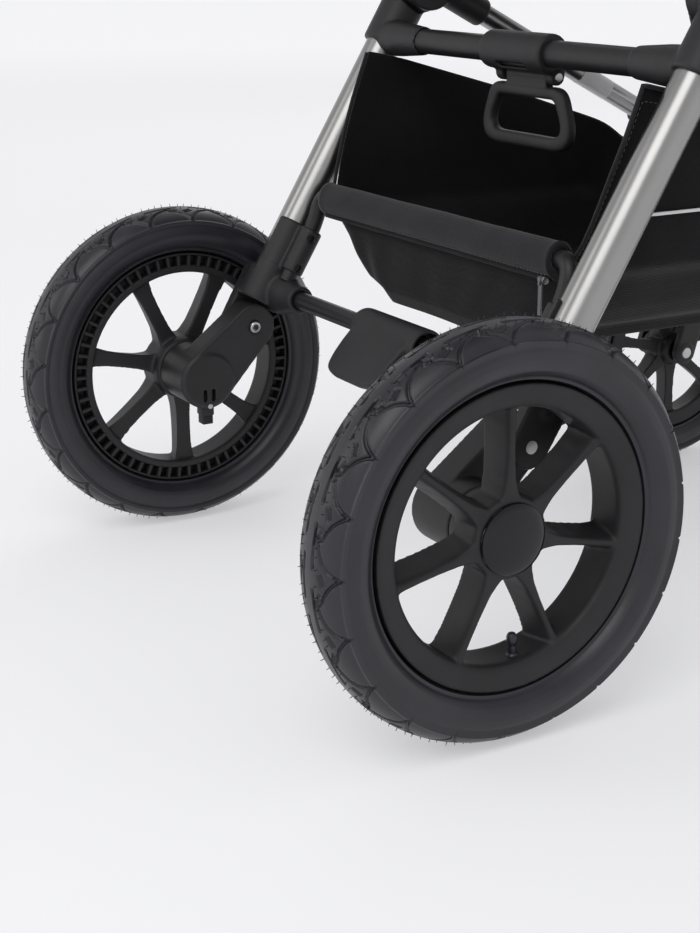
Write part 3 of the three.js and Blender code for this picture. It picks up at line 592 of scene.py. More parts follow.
def grid_mesh(name, rows, close_rows=False, close_columns=False):
    """Mesh from rows of points."""
    n = len(rows[0])
    verts = [tuple(v) for row in rows for v in row]
    faces = []
    count = len(rows)
    for i in range(count if close_rows else count - 1):
        for k in range(n if close_columns else n - 1):
            j, m = (i + 1) % count, (k + 1) % n
            faces.append((i * n + k, i * n + m, j * n + m, j * n + k))
    mesh = bpy.data.meshes.new(name)
    mesh.from_pydata(verts, [], faces)
    return mesh


def place(x, y, z):
    """Point in millimetres from the floor under the middle of the rear axle."""
    return Vector((x * MM, y * MM + AXLE_Y, z * MM))


def mirror_mesh(mesh):
    other = mesh.copy()
    other.transform(Matrix.Diagonal((-1, 1, 1, 1)))
    other.flip_normals()
    return other


def show_pair(name, mesh, look, body, replaces=(), sharp=None):
    """The piece on the left and its mirror image on the right. {} in a body or node name is the side."""
    for side, sign in SIDES:
        own = mesh.copy() if sign > 0 else mirror_mesh(mesh)
        nodes = [item.format(side) for item in replaces]
        finish_mesh(f"{name}_{side}", own, look, body.format(side), nodes, sharp)


def solid_mesh(name, solids, bevel=0.0):
    """The gathered pieces as a mesh, with softened edges."""
    mesh = bpy.data.meshes.new(name)
    mesh.from_pydata(solids.verts, [], solids.faces)
    outward(mesh)
    if bevel:
        piece = bpy.data.objects.new(name, mesh)
        bpy.context.scene.collection.objects.link(piece)
        soften = piece.modifiers.new("edges", "BEVEL")
        soften.width = bevel
        soften.segments = 3
        soften.limit_method = "ANGLE"
        soften.angle_limit = math.radians(35)
        mesh = baked(piece)
        bpy.data.objects.remove(piece)
    return mesh


def plain_pair(name, solids, look, body, replaces=(), bevel=0.0, sharp=30):
    """The gathered pieces on the left and their mirror image on the right, with softened edges."""
    show_pair(name, solid_mesh(name, solids, bevel), look, body, replaces, sharp)


# ---------------------------------------------------------------- wheels
class Wheel:
    """Sizes of the left wheel in millimetres. x is the middle of the wheel, and outward is +X."""

    def __init__(self, kind, x, y, radius, half, bead, rim_half, barrel, hub, hub_span, spoke_span):
        self.kind, self.x, self.y, self.radius, self.half = kind, x, y, radius, half
        self.bead, self.rim_half, self.barrel = bead, rim_half, barrel
        self.hub = hub
        self.hub_in, self.hub_out = hub_span
        self.spoke_in, self.spoke_out = spoke_span
        self.middle = place(x, y, radius)

    def at(self, x, r, turn):
        return place(x, self.y + r * math.cos(turn), self.radius + r * math.sin(turn))


REAR = Wheel("rear", 270, 0, 150, half=27.4, bead=110, rim_half=18, barrel=96, hub=30,
             hub_span=(247.5, 284), spoke_span=(257, 283))
FRONT = Wheel("front", 186, -530, 120, half=21, bead=85.5, rim_half=14, barrel=74, hub=17,
              hub_span=(166.5, 205.5), spoke_span=(176, 196))
TREAD_UNITS = 21
HAIR_STEP = 7.5             # between the rubber hairs of one row
SPOKES = 7
BRAKE_RIBS = 62
# distance from the axle, half width of the front ridge and half width at the back, for the rear wheel
SPOKE_STATIONS = ((18, 8.6, 10.5), (29, 7.0, 9.2), (34, 5.2, 8.2), (42, 3.2, 7.2),
                  (58, 2.1, 6.9), (75, 1.7, 7.4), (86, 1.7, 8.8), (94, 2.2, 11.0))


def polyline_distance(points, at_u, at_v):
    """Distance from every (u, v) to the open polyline, in the same unit."""
    best = np.full(at_u.shape, 1e9)
    for (u0, v0), (u1, v1) in zip(points, points[1:]):
        du, dv = u1 - u0, v1 - v0
        t = np.clip(((at_u - u0) * du + (at_v - v0) * dv) / (du * du + dv * dv), 0, 1)
        best = np.minimum(best, np.hypot(at_u - u0 - t * du, at_v - v0 - t * dv))
    return best


def tread_depth(along, across, unit, reach):
    """Depth of the tread grooves in mm.

    along is in mm round the tyre and across in mm from its crown, to +-reach at the shoulders. Each groove is
    a line in shares of the pattern's length and of the reach, with its half width and its depth.
    """
    long_arc = ((0, 0.97), (0.05, 0.80), (0.12, 0.64), (0.22, 0.51),
                (0.33, 0.42), (0.46, 0.345), (0.60, 0.29))
    short_arc = ((0, 0.97), (-0.07, 0.80), (-0.17, 0.64), (-0.29, 0.53), (-0.42, 0.44))
    hook = ((-0.42, 0.44), (-0.445, 0.38), (-0.42, 0.33), (-0.375, 0.31))
    tick = ((-0.36, 0.40), (-0.31, 0.355))
    second_tick = ((-0.30, 0.44), (-0.25, 0.395))
    dash = ((-0.10, 0.56), (0.06, 0.47))
    second_dash = ((-0.13, 0.48), (0.03, 0.39))
    crown = ((0.10, 0.20), (0.78, 0.17))
    grooves = ((long_arc, 1.0, 2.2), (short_arc, 1.0, 2.2), (hook, 0.8, 1.8), (tick, 0.55, 1.4),
               (second_tick, 0.55, 1.4), (dash, 0.6, 1.5), (second_dash, 0.6, 1.5), (crown, 1.0, 2.2))
    depth = np.zeros_like(along)
    for side in (1.0, -1.0):
        u = np.mod(along + (0.0 if side > 0 else unit / 2), unit)
        for shift in (-unit, 0.0, unit):
            for line, half_width, deep in grooves:
                scaled = [(a * unit, b * reach) for a, b in line]
                away = polyline_distance(scaled, u + shift, across * side)
                edge = np.clip((half_width + 0.45 - away) / 0.7, 0, 1)
                depth = np.maximum(depth, deep * edge * edge * (3 - 2 * edge))
    return depth


def tyre_mesh(wheel):
    """Air tyre with moulded tread, a shoulder ridge, smooth walls and beads tucked into the rim."""
    mid_r = (wheel.radius + wheel.bead) / 2 + 0.6
    half_r = wheel.radius - mid_r
    shoulder = math.radians(66)
    bead_turn = math.radians(150)
    tread = np.linspace(-shoulder, shoulder, 82)
    wall = shoulder + (bead_turn - shoulder) * np.linspace(0, 1, 22)[1:] ** 0.9
    turns = np.concatenate([-wall[::-1], tread, wall])
    fullness = np.where(np.abs(turns) > math.pi / 2, 0.62, 0.92)
    u = wheel.half * np.sign(np.sin(turns)) * np.abs(np.sin(turns)) ** fullness
    r = mid_r + half_r * np.cos(turns)
    tucked = np.array([wheel.rim_half - 0.6, wheel.rim_half - 3.5, wheel.rim_half - 8.0])
    tucked_r = wheel.bead + np.array([1.8, 0.9, 0.6])
    u = np.concatenate([-tucked[::-1], u, tucked])
    r = np.concatenate([tucked_r[::-1], r, tucked_r])
    beyond = bead_turn + np.array([0.1, 0.2, 0.3])
    turns = np.concatenate([-beyond[::-1], turns, beyond])
    normal_u = np.sin(turns) / wheel.half
    normal_r = np.cos(turns) / half_r
    length = np.hypot(normal_u, normal_r)
    normal_u, normal_r = normal_u / length, normal_r / length
    across = np.concatenate([[0], np.cumsum(np.hypot(np.diff(u), np.diff(r)))])
    across -= across[len(across) // 2]
    reach = across[np.searchsorted(turns, shoulder - 1e-6)]
    around = int(2 * math.pi * wheel.radius / 0.95)
    around -= around % TREAD_UNITS
    theta = np.linspace(0, 2 * math.pi, around, endpoint=False)
    pitch = 2 * math.pi * wheel.radius / TREAD_UNITS
    grid_along, grid_across = np.meshgrid(theta * wheel.radius, across, indexing="ij")
    depth = tread_depth(grid_along, grid_across, pitch, reach)
    depth[np.abs(grid_across) > reach * 1.0] = 0
    away = np.abs(np.abs(grid_across) - reach * 1.02)
    ridge = 1.5 * np.clip(1.3 - away / 1.5, 0, 1)
    below = np.clip((np.abs(grid_across) - reach * 1.05) / 0.9, 0, 1)
    ridge -= 1.7 * below * np.clip((reach * 1.5 - np.abs(grid_across)) / (reach * 0.4), 0, 1)
    wall_ring = np.abs(np.abs(grid_across) - reach * 1.42)
    ridge += 0.35 * np.clip(1 - wall_ring / 0.8, 0, 1)
    bead_line = np.abs(np.abs(grid_across) - reach * 1.72)
    ridge += 0.45 * np.clip(1 - bead_line / 0.9, 0, 1)
    lift = ridge - depth
    uu = u[None, :] + lift * normal_u[None, :]
    rr = np.minimum(r[None, :] + lift * normal_r[None, :], wheel.radius)
    y = wheel.y + rr * np.cos(theta)[:, None]
    z = wheel.radius + rr * np.sin(theta)[:, None]
    x = wheel.x + uu
    verts = np.stack([x, y + AXLE_Y / MM, z], axis=-1) * MM
    rows, columns = verts.shape[:2]
    index = np.arange(rows * columns).reshape(rows, columns)
    a = index
    b = np.roll(index, -1, axis=0)
    quads = np.stack([a, np.roll(a, -1, axis=1), np.roll(b, -1, axis=1), b], axis=-1).reshape(-1, 4)
    mesh = bpy.data.meshes.new(f"{wheel.kind}_tyre_skin")
    mesh.from_pydata(verts.reshape(-1, 3).tolist(), [], quads.tolist())
    outward(mesh)
    return mesh


def tyre_hairs(wheel):
    """Thin rubber hairs left by the mould's vents, in rows either side of the crown."""
    hairs = Solids()
    for row in (-1, 1):
        for k in range(int(2 * math.pi * wheel.radius / HAIR_STEP)):
            turn = (k + 0.35 * RNG.random() + 0.5 * (row > 0)) * HAIR_STEP / wheel.radius
            u = row * wheel.half * (0.30 + 0.05 * RNG.random())
            height = 1.4 + 1.5 * RNG.random()
            base = wheel.at(wheel.x + u, wheel.radius - 1.6, turn)
            lean = (RNG.random() - 0.5) * 0.012
            tip = wheel.at(wheel.x + u + row * 0.5, wheel.radius - 0.9 + height, turn + lean)
            if tip.z > 0.5 * MM:
                hairs.rod(base, tip, 0.42 * MM, 0.2 * MM, 5)
    return solid_mesh(f"{wheel.kind}_hairs", hairs)


def rim_mesh(wheel):
    """Moulded rim: dished outer flange, barrel, hub, and seven deep spokes that flare into the barrel."""
    parts = Solids()
    h, b, bead = wheel.rim_half, wheel.barrel, wheel.bead
    groove = wheel.kind == "rear"
    loop = [(h, bead - 0.3), (h + 1.2, bead - 1.2), (h + 1.0, bead - 4.4), (h - 0.4, b + 3.0),
            (h - 1.6, b - 0.4), (h - 3.6, b - 3.2), (h - 7.0, b - 4.5), (-h + 2.0, b - 5.0),
            (-h + 0.6, b - 4.6), (-h, b - 3.8)]
    if groove:
        loop += [(-h, b + 2.0), (-h + 10, b + 2.0), (-h + 10, b + 11.0), (-h, b + 11.0)]
    loop += [(-h - 0.4, bead - 1.2), (-h + 0.6, bead - 0.3), (-h + 4, bead - 1.2), (-7, bead - 1.2),
             (-6, bead + 2.0), (6, bead + 2.0), (7, bead - 1.2), (h - 3, bead - 1.2)]
    parts.ring(wheel.middle, [((wheel.x + u) * MM, r * MM) for u, r in loop], 160)
    hub = wheel.hub
    face = wheel.hub_out
    profile = [(wheel.hub_in, 0.5), (wheel.hub_in, hub - 3), (wheel.hub_in + 3, hub - 1),
               (wheel.spoke_in, hub), (face - 4, hub), (face - 1, hub - 1), (face, hub - 3), (face, 0.5)]
    parts.ring(wheel.middle, [(x * MM, r * MM) for x, r in profile], 96)
    scale = b / 96
    for k in range(SPOKES):
        turn = math.pi / 2 + 2 * math.pi * k / SPOKES
        along = Vector((0, math.cos(turn), math.sin(turn)))
        side = Vector((0, -math.sin(turn), math.cos(turn)))
        verts = []
        for r, front, back in SPOKE_STATIONS:
            place_at = wheel.middle + along * r * scale * MM
            waist = front + 0.3 * (back - front)
            outer = wheel.spoke_out
            for half, x in ((front, outer), (waist, outer - 4 * scale), (back, wheel.spoke_in)):
                for sign in (1, -1):
                    verts.append(Vector((x * MM, place_at.y, place_at.z)) + side * half * sign * scale * MM)
        order = (0, 1, 3, 5, 4, 2)
        faces = []
        for i in range(len(SPOKE_STATIONS) - 1):
            for j in range(6):
                a, c = order[j], order[(j + 1) % 6]
                faces.append((i * 6 + a, i * 6 + c, i * 6 + 6 + c, i * 6 + 6 + a))
        faces.append(tuple(order))
        faces.append(tuple((len(SPOKE_STATIONS) - 1) * 6 + j for j in reversed(order)))
        parts.add(verts, faces)
    return fused_mesh(f"{wheel.kind}_rim_skin", parts, 0.0013 if groove else 0.0011, 4)


def brake_ribs(wheel):
    """Ribs across the brake groove, which the brake pin drops between."""
    ribs = Solids()
    first = math.atan2(BRAKE_PIN[1] - wheel.radius, BRAKE_PIN[0] - wheel.y) + math.pi / BRAKE_RIBS
    x0, x1 = wheel.x - wheel.rim_half - 0.4, wheel.x - wheel.rim_half + 11
    for k in range(BRAKE_RIBS):
        turn = first + 2 * math.pi * k / BRAKE_RIBS
        side = Vector((0, -math.sin(turn), math.cos(turn))) * 1.5 * MM
        corners = []
        for x in (x0, x1):
            for r in (wheel.barrel + 1.2, wheel.barrel + 11.3):
                for sign in (1, -1):
                    corners.append(wheel.at(x, r, turn) + side * sign)
        ribs.add(corners, BOX_FACES)
    return solid_mesh("brake_ribs", ribs, 0.0005)


def valve_mesh(wheel, turn):
    """Valve stem through the barrel, with a rubber foot, a thread and a screw cap."""
    parts = Solids()
    root = wheel.at(wheel.x + 3, wheel.barrel - 1, turn)
    along = (wheel.at(wheel.x + 5, wheel.barrel - 26, turn) - root).normalized()
    parts.sweep([root, root + along * 0.0035, root + along * 0.005, root + along * 0.011],
                [0.0052, 0.0048, 0.0032, 0.003], 24)
    parts.sweep([root + along * 0.010, root + along * 0.0135], [0.0022, 0.0022], 20)
    cap = [0.0125, 0.013, 0.0145, 0.018, 0.020, 0.021]
    parts.sweep([root + along * d for d in cap], [0.0028, 0.0034, 0.0038, 0.0038, 0.0028, 0.0012], 24)
    return solid_mesh("valve", parts)


def hub_cap_mesh(wheel):
    face = wheel.hub_out
    profile = [(0.2, 0.4), (0.2, 26), (1.8, 26), (2.6, 25.6), (3.6, 24), (4.6, 21), (5.6, 16.5),
               (6.4, 11), (6.9, 5), (7.0, 0.4)]
    ring = Solids().ring(wheel.middle, [((face + x) * MM, r * MM) for x, r in profile], 96)
    disc = Solids().cross_rod(wheel.middle, 0.8 * MM, (face + 0.2) * MM, (face + 7.0) * MM, 24)
    ring.add(disc.verts, disc.faces)
    return solid_mesh("hub_cap", ring)


def add_wheels():
    for wheel in (REAR, FRONT):
        body = wheel.kind + "_wheel_{}"
        tyre = tyre_mesh(wheel)
        show_pair(f"{wheel.kind}_tyre_rubber", tyre, "rubber", body, [wheel.kind + "_tyre_{}"], 60)
        show_pair(f"{wheel.kind}_tyre_hairs", tyre_hairs(wheel), "rubber", body)
        rim = rim_mesh(wheel)
        far_rim = rim.copy()
        half_step = Matrix.Rotation(math.pi / SPOKES, 4, "X")
        far_rim.transform(Matrix.Translation(wheel.middle) @ half_step @ Matrix.Translation(-wheel.middle))
        near_rim = mirror_mesh(rim)
        for side, own in (("left", far_rim), ("right", near_rim)):
            finish_mesh(f"{wheel.kind}_rim_moulding_{side}", own, "plastic", f"{wheel.kind}_wheel_{side}",
                        [f"{wheel.kind}_rim_{side}"], None)
    show_pair("rear_brake_ribs", brake_ribs(REAR), "plastic", "rear_wheel_{}", (), 35)
    for side, turn in (("left", -47.4), ("right", -96.6)):
        valve = valve_mesh(REAR, math.radians(turn))
        own = valve if side == "left" else mirror_mesh(valve)
        finish_mesh(f"rear_valve_{side}", own, "rubber", f"rear_wheel_{side}", (), 40)
    show_pair("rear_cap", hub_cap_mesh(REAR), "gloss", "rear_wheel_{}", ["rear_hub_cap_{}"], 30)
    cap = Solids()
    for x in (FRONT.hub_in - 0.2, FRONT.hub_out - 1.0):
        cap.cross_rod(FRONT.middle, 12 * MM, x * MM, (x + 1.2) * MM, 48, 0.0004)
    plain_pair("front_hub_caps", cap, "gloss", "front_wheel_{}")


# ---------------------------------------------------------------- rear axle, arms, legs
def side_point(y, z):
    return (y * MM + AXLE_Y, z * MM)


def at_side(y, z):
    """Point in the side view, for cross_rod."""
    return Vector((0, y * MM + AXLE_Y, z * MM))


def on_leg(z):
    return place(217.6, 69.3 - 0.6 * z, z)


LEG_LINE = [on_leg(z) for z in (235.5, 300, 360, 420, 469)]


def add_suspension():
    parts = Solids()
    outline = link_outline(side_point(*ARM_PIVOT), 20.5 * MM, side_point(*AXLE), 26.5 * MM, 28)
    parts.board(outline, 0.1975, 0.2245)
    parts.cross_rod(at_side(*AXLE), 27 * MM, 0.197, 0.2463, 64, 0.002)
    parts.cross_rod(at_side(*AXLE), 24.5 * MM, 0.1955, 0.2, 64, 0.001)
    cuts = Solids()
    for y in (-4.2, 4.2):
        cuts.box(place(190, y - 1.7, 130), place(202, y + 1.7, 142))
    cuts.box(place(199.3, -6.8, 100), place(213.7, 6.8, 123))
    cuts.cross_rod(at_side(*ARM_PIVOT), 6.4 * MM, 0.19, 0.1990, 32)
    arm = fused_mesh("arm_skin", parts, 0.0010, 5, cuts)
    show_pair("arm_moulding", arm, "casting", "suspension_{}", ["suspension_arm_{}"])
    pin = Solids().rod(place(194.6, 0, 126), place(198.5, 0, 126), 2.4 * MM, None, 24, 0.0006)
    plain_pair("arm_pin", pin, "steel", "suspension_{}")
    profile = [(0.1952, 0.0028), (0.1948, 0.0046), (0.1954, 0.0052), (0.1985, 0.0052), (0.1985, 0.0028)]
    rings = Solids().ring(at_side(*ARM_PIVOT), profile, 64)
    rings.cross_rod(at_side(*ARM_PIVOT), 4.9 * MM, 0.1985, 0.2378, 32)
    plain_pair("arm_bolt", rings, "steel", "rear_frame", ["suspension_bolt_{}"])
    # Black hexagon inside the bolt head: painted shade standing for the shaded inside of the bolt's socket.
    socket_shade = Solids().cross_rod(at_side(*ARM_PIVOT), 2.7 * MM, 0.1962, 0.1980, 6)
    plain_pair("arm_bolt_socket_shade", socket_shade, "gloss", "rear_frame")
    tab = Solids()
    tab.box(place(200.2, -5.8, 116), place(212.8, 5.8, 134))
    tab.box(place(201, -5, 107.5), place(212, 5, 117))
    for k in range(3):
        tab.box(place(200.4, -4.5, 109 + 2.4 * k), place(201.4, 4.5, 110.2 + 2.4 * k))
    plain_pair("tab_moulding", tab, "plastic", "release_tab_{}", ["release_tab_{}"], bevel=0.0009, sharp=40)
    axle = Solids().cross_rod(at_side(*AXLE), 6 * MM, 0.206, 0.284, 32, 0.0008)
    plain_pair("axle_rod", axle, "steel", "suspension_{}", ["rear_axle_{}"])


def add_castings():
    parts = Solids()
    cross = at_side(*AXLE_TUBE)
    parts.rod(on_leg(214.5), on_leg(247.5), 20.3 * MM, None, 56, 0.0015)
    profile = [(0.166, 0.0083), (0.166, 0.0126), (0.172, 0.0134), (0.180, 0.0150), (0.188, 0.0172),
               (0.196, 0.0190), (0.206, 0.0196), (0.2275, 0.0190), (0.2275, 0.0083)]
    parts.ring(cross, profile, 64)
    parts.cross_rod(cross, 17 * MM, 0.1985, 0.2275, 56)
    parts.board(link_outline(side_point(*ARM_PIVOT), 17 * MM, side_point(69.3 - 0.6 * 233, 233), 18 * MM, 24),
                0.2258, 0.2368)
    parts.rod(place(191, -82.8, 244), place(191, -105, 281), 10.5 * MM, None, 40, 0.001)
    parts.rod(on_leg(246), on_leg(284.5), 19.2 * MM, None, 56, 0.0015)
    cuts = Solids()
    cuts.cross_rod(at_side(*ARM_PIVOT), 22.2 * MM, 0.19, 0.2256, 56)
    cuts.box(place(213.5, -160, 248.2), place(250, 0, 300))
    screw_places = [place(199, y, z) for y, z in ((-100, 274.5), (-85.5, 248.5))]
    for spot in screw_places:
        cuts.rod(spot - Vector((0.02, 0, 0)), spot + Vector((0.0012, 0, 0)), 3.4 * MM, None, 32)
    casting = fused_mesh("casting_skin", parts, 0.0011, 5, cuts)
    show_pair("casting_moulding", casting, "casting", "rear_frame", ["axle_casting_{}"])
    screws = Solids()
    for spot in screw_places:
        screws.rod(spot + Vector((0.001, 0, 0)), spot - Vector((0.0012, 0, 0)), 2.7 * MM, None, 32, 0.0005)
    plain_pair("casting_screws", screws, "gloss", "rear_frame")
    leg = Solids().sweep(LEG_LINE, 16 * MM, 64)
    plain_pair("leg_tube", leg, "leg_silver", "rear_frame", ["rear_leg_{}"])
    tube = Solids().cross_rod(cross, 8 * MM, -0.198, 0.198, 48)
    plain("axle_tube", tube, "black_tube", "rear_frame", "axle_cross_tube")
    pins = Solids().cross_rod(at_side(*BRAKE_PIN), 4 * MM, 0.229, 0.2372, 32, 0.0004)
    pins.cross_rod(at_side(*BRAKE_PIN), 2.8 * MM, 0.236, 0.244, 32, 0.0008)
    plain_pair("brake_pin_rod", pins, "steel", "brake_pin_{}", ["brake_pin_{}"])


def add_leg_joints():
    pivot = at_side(*MAIN_PIVOT)
    parts = Solids()
    parts.rod(on_leg(442.5), on_leg(488), 20 * MM, None, 56, 0.002)
    parts.ring(at_side(*CROSSBAR), [(0.150, 0.0112), (0.150, 0.0122), (0.1515, 0.0127), (0.186, 0.0155),
                                    (0.200, 0.0160), (0.214, 0.0160), (0.214, 0.0112)], 56)
    parts.cross_rod(at_side(*CROSSBAR), 14 * MM, 0.1998, 0.214, 56)
    parts.cross_rod(pivot, 30 * MM, 0.2057, 0.2218, 72, 0.0012)
    outline = link_outline(side_point(*MAIN_PIVOT), 27.8 * MM, side_point(*SEAT_PIVOT), 23.8 * MM, 24)
    parts.board(outline, 0.2057, 0.2128)
    cuts = Solids()
    cuts.cross_rod(pivot, 30.6 * MM, 0.18, 0.2055, 72)
    cuts.cross_rod(pivot, 31.2 * MM, 0.2222, 0.25, 72)
    joint = fused_mesh("joint_skin", parts, 0.0012, 4, cuts)
    show_pair("joint_moulding", joint, "casting", "rear_frame", ["leg_joint_{}"])
    pin = Solids().cross_rod(pivot, 8 * MM, 0.189, 0.2475, 40, 0.001)
    plain_pair("joint_pin", pin, "steel", "rear_frame")
    tube = Solids().cross_rod(at_side(*CROSSBAR), 11 * MM, -0.1995, 0.1995, 56)
    plain("crossbar_tube", tube, "black_tube", "rear_frame", "rear_crossbar")


def add_brake():
    cross = at_side(*AXLE_TUBE)
    parts = Solids()
    profile = [(-0.050, 0.0128), (-0.050, 0.0154), (-0.0488, 0.016), (0.0488, 0.016), (0.050, 0.0154),
               (0.050, 0.0128), (0.038, 0.0128), (0.038, 0.0086), (-0.038, 0.0086), (-0.038, 0.0128)]
    parts.ring(cross, profile, 64)
    blade = ((-80, 225), (-70, 222.5), (-58, 213.5), (-46, 202.5), (-38, 194), (-34, 189.5))
    line = curve_points([(0, y, z) for y, z in blade], 40)
    rows = []
    for i, point in enumerate(line):
        share = i / (len(line) - 1)
        along = (line[min(i + 1, 39)] - line[max(i - 1, 0)]).normalized()
        across = Vector((0, -along.z, along.y))
        tip = math.sqrt(max(0.0, 1 - max(0.0, (share - 0.72) / 0.285) ** 2.4))
        half = 44 - 9 * share * share
        half *= 0.42 + 0.58 * tip
        thick = (10 - 6.4 * share) * (0.5 + 0.5 * tip)
        row = []
        for k in range(64):
            turn = 2 * math.pi * k / 64
            c, s = math.cos(turn), math.sin(turn)
            x = blunt(c, 0.28) * half
            lift = blunt(s, 0.5) * thick
            spot = point + across * lift
            row.append(place(x, spot.y, spot.z))
        rows.append(row)
    verts = [v for row in rows for v in row]
    faces = [(i * 64 + k, i * 64 + (k + 1) % 64, (i + 1) * 64 + (k + 1) % 64, (i + 1) * 64 + k)
             for i in range(39) for k in range(64)]
    faces += [tuple(reversed(range(64))), tuple(range(39 * 64, 40 * 64))]
    cuts = Solids().cross_rod(cross, 8.7 * MM, -0.06, 0.06, 48)
    for side in (-1, 1):
        cuts.cross_rod(cross, 12.9 * MM, *span(side, 38, 60), 48)
    shape = fused_mesh("pedal_skin", parts.add(verts, faces), 0.0011, 8, cuts)
    finish_mesh("pedal_moulding", shape, "plastic", "brake_pedal", ["brake_pedal"], None)


# ---------------------------------------------------------------- fold release on the crossbar
def loop_points(top_half, bottom_half, drop, top_corner, bottom_corner, steps=10):
    """Outline (x, z) of a flared loop that hangs from z = 0."""
    corners = [Vector((top_half, 0, 0)), Vector((bottom_half, 0, -drop)), Vector((-bottom_half, 0, -drop)),
               Vector((-top_half, 0, 0))]
    reaches = (top_corner, bottom_corner, bottom_corner, top_corner)
    made = []
    for i, at in enumerate(corners):
        enter = at + (corners[i - 1] - at).normalized() * reaches[i]
        leave = at + (corners[(i + 1) % 4] - at).normalized() * reaches[i]
        for k in range(steps + 1):
            u = k / steps
            spot = enter * (1 - u) ** 2 + at * 2 * u * (1 - u) + leave * u * u
            made.append((spot.x, spot.z))
    return made


def add_fold_release():
    cross, hinge = at_side(*CROSSBAR), at_side(*PULL_HINGE)
    parts = Solids()
    parts.cross_rod(cross, 16 * MM, -0.043, 0.043, 64, 0.0025)
    parts.box(place(-40, -215, 432), place(-30.4, -201, 447))
    parts.box(place(30.4, -215, 432), place(40, -201, 447))
    parts.box(place(-40, -215, 438), place(40, -201, 447))
    parts.cross_rod(hinge, 7 * MM, -0.040, -0.0304, 40, 0.001)
    parts.cross_rod(hinge, 7 * MM, 0.0304, 0.040, 40, 0.001)
    cuts = Solids()
    cuts.box(place(-20, -196, 437.6), place(20, -182, 441.4))
    shape = fused_mesh("housing_skin", parts, 0.0011, 4, cuts)
    finish_mesh("housing_moulding", shape, "plastic", "rear_frame", ["fold_housing"], None)
    pin = Solids()
    for side in (-1, 1):
        pin.cross_rod(hinge, 3.6 * MM, *span(side, 39.5, 41.2), 32, 0.0004)
    plain("housing_pin_heads", pin, "steel", "rear_frame")
    top = -8.0
    outer = loop_points(50, 70, 52, 12, 32)
    inner = [(x, z - 10.5) for x, z in loop_points(39, 56, 30, 6, 22)]
    n = len(outer)
    parts = Solids()
    middle = [((xo + xi) / 2, (zo + zi) / 2) for (xo, zo), (xi, zi) in zip(outer, inner)]
    ring = [place(x, -208, 431 + top + z) for x, z in middle]
    band = [math.hypot(xo - xi, zo - zi) / 2 for (xo, zo), (xi, zi) in zip(outer, inner)]
    verts, faces = [], []
    sides = 20
    for i, centre_at in enumerate(ring):
        across = Vector((outer[i][0] - inner[i][0], 0, outer[i][1] - inner[i][1])).normalized()
        for k in range(sides):
            turn = 2 * math.pi * k / sides
            c, s = math.cos(turn), math.sin(turn)
            c = blunt(c, 0.7)
            s = blunt(s, 0.7)
            verts.append(centre_at + across * c * band[i] * MM + Vector((0, 1, 0)) * s * 5.4 * MM)
    for i in range(n):
        for k in range(sides):
            a, b = i * sides + k, i * sides + (k + 1) % sides
            c = (i + 1) % n * sides
            faces.append((a, b, c + (k + 1) % sides, c + k))
    parts.add(verts, faces)
    parts.box(place(-28, -212, 417), place(28, -204, 431))
    parts.cross_rod(hinge, 4.5 * MM, -0.028, 0.028, 32, 0.001)
    parts.cross_rod(hinge, 3 * MM, -0.0302, 0.0302, 24)
    shape = fused_mesh("loop_skin", parts, 0.0010, 4)
    finish_mesh("loop_moulding", shape, "plastic", "pull_handle", ["pull_handle"], None)


# ---------------------------------------------------------------- front legs, casters
def on_front_leg(y):
    return place(200, y, 502 + (y + 233) * 0.512)


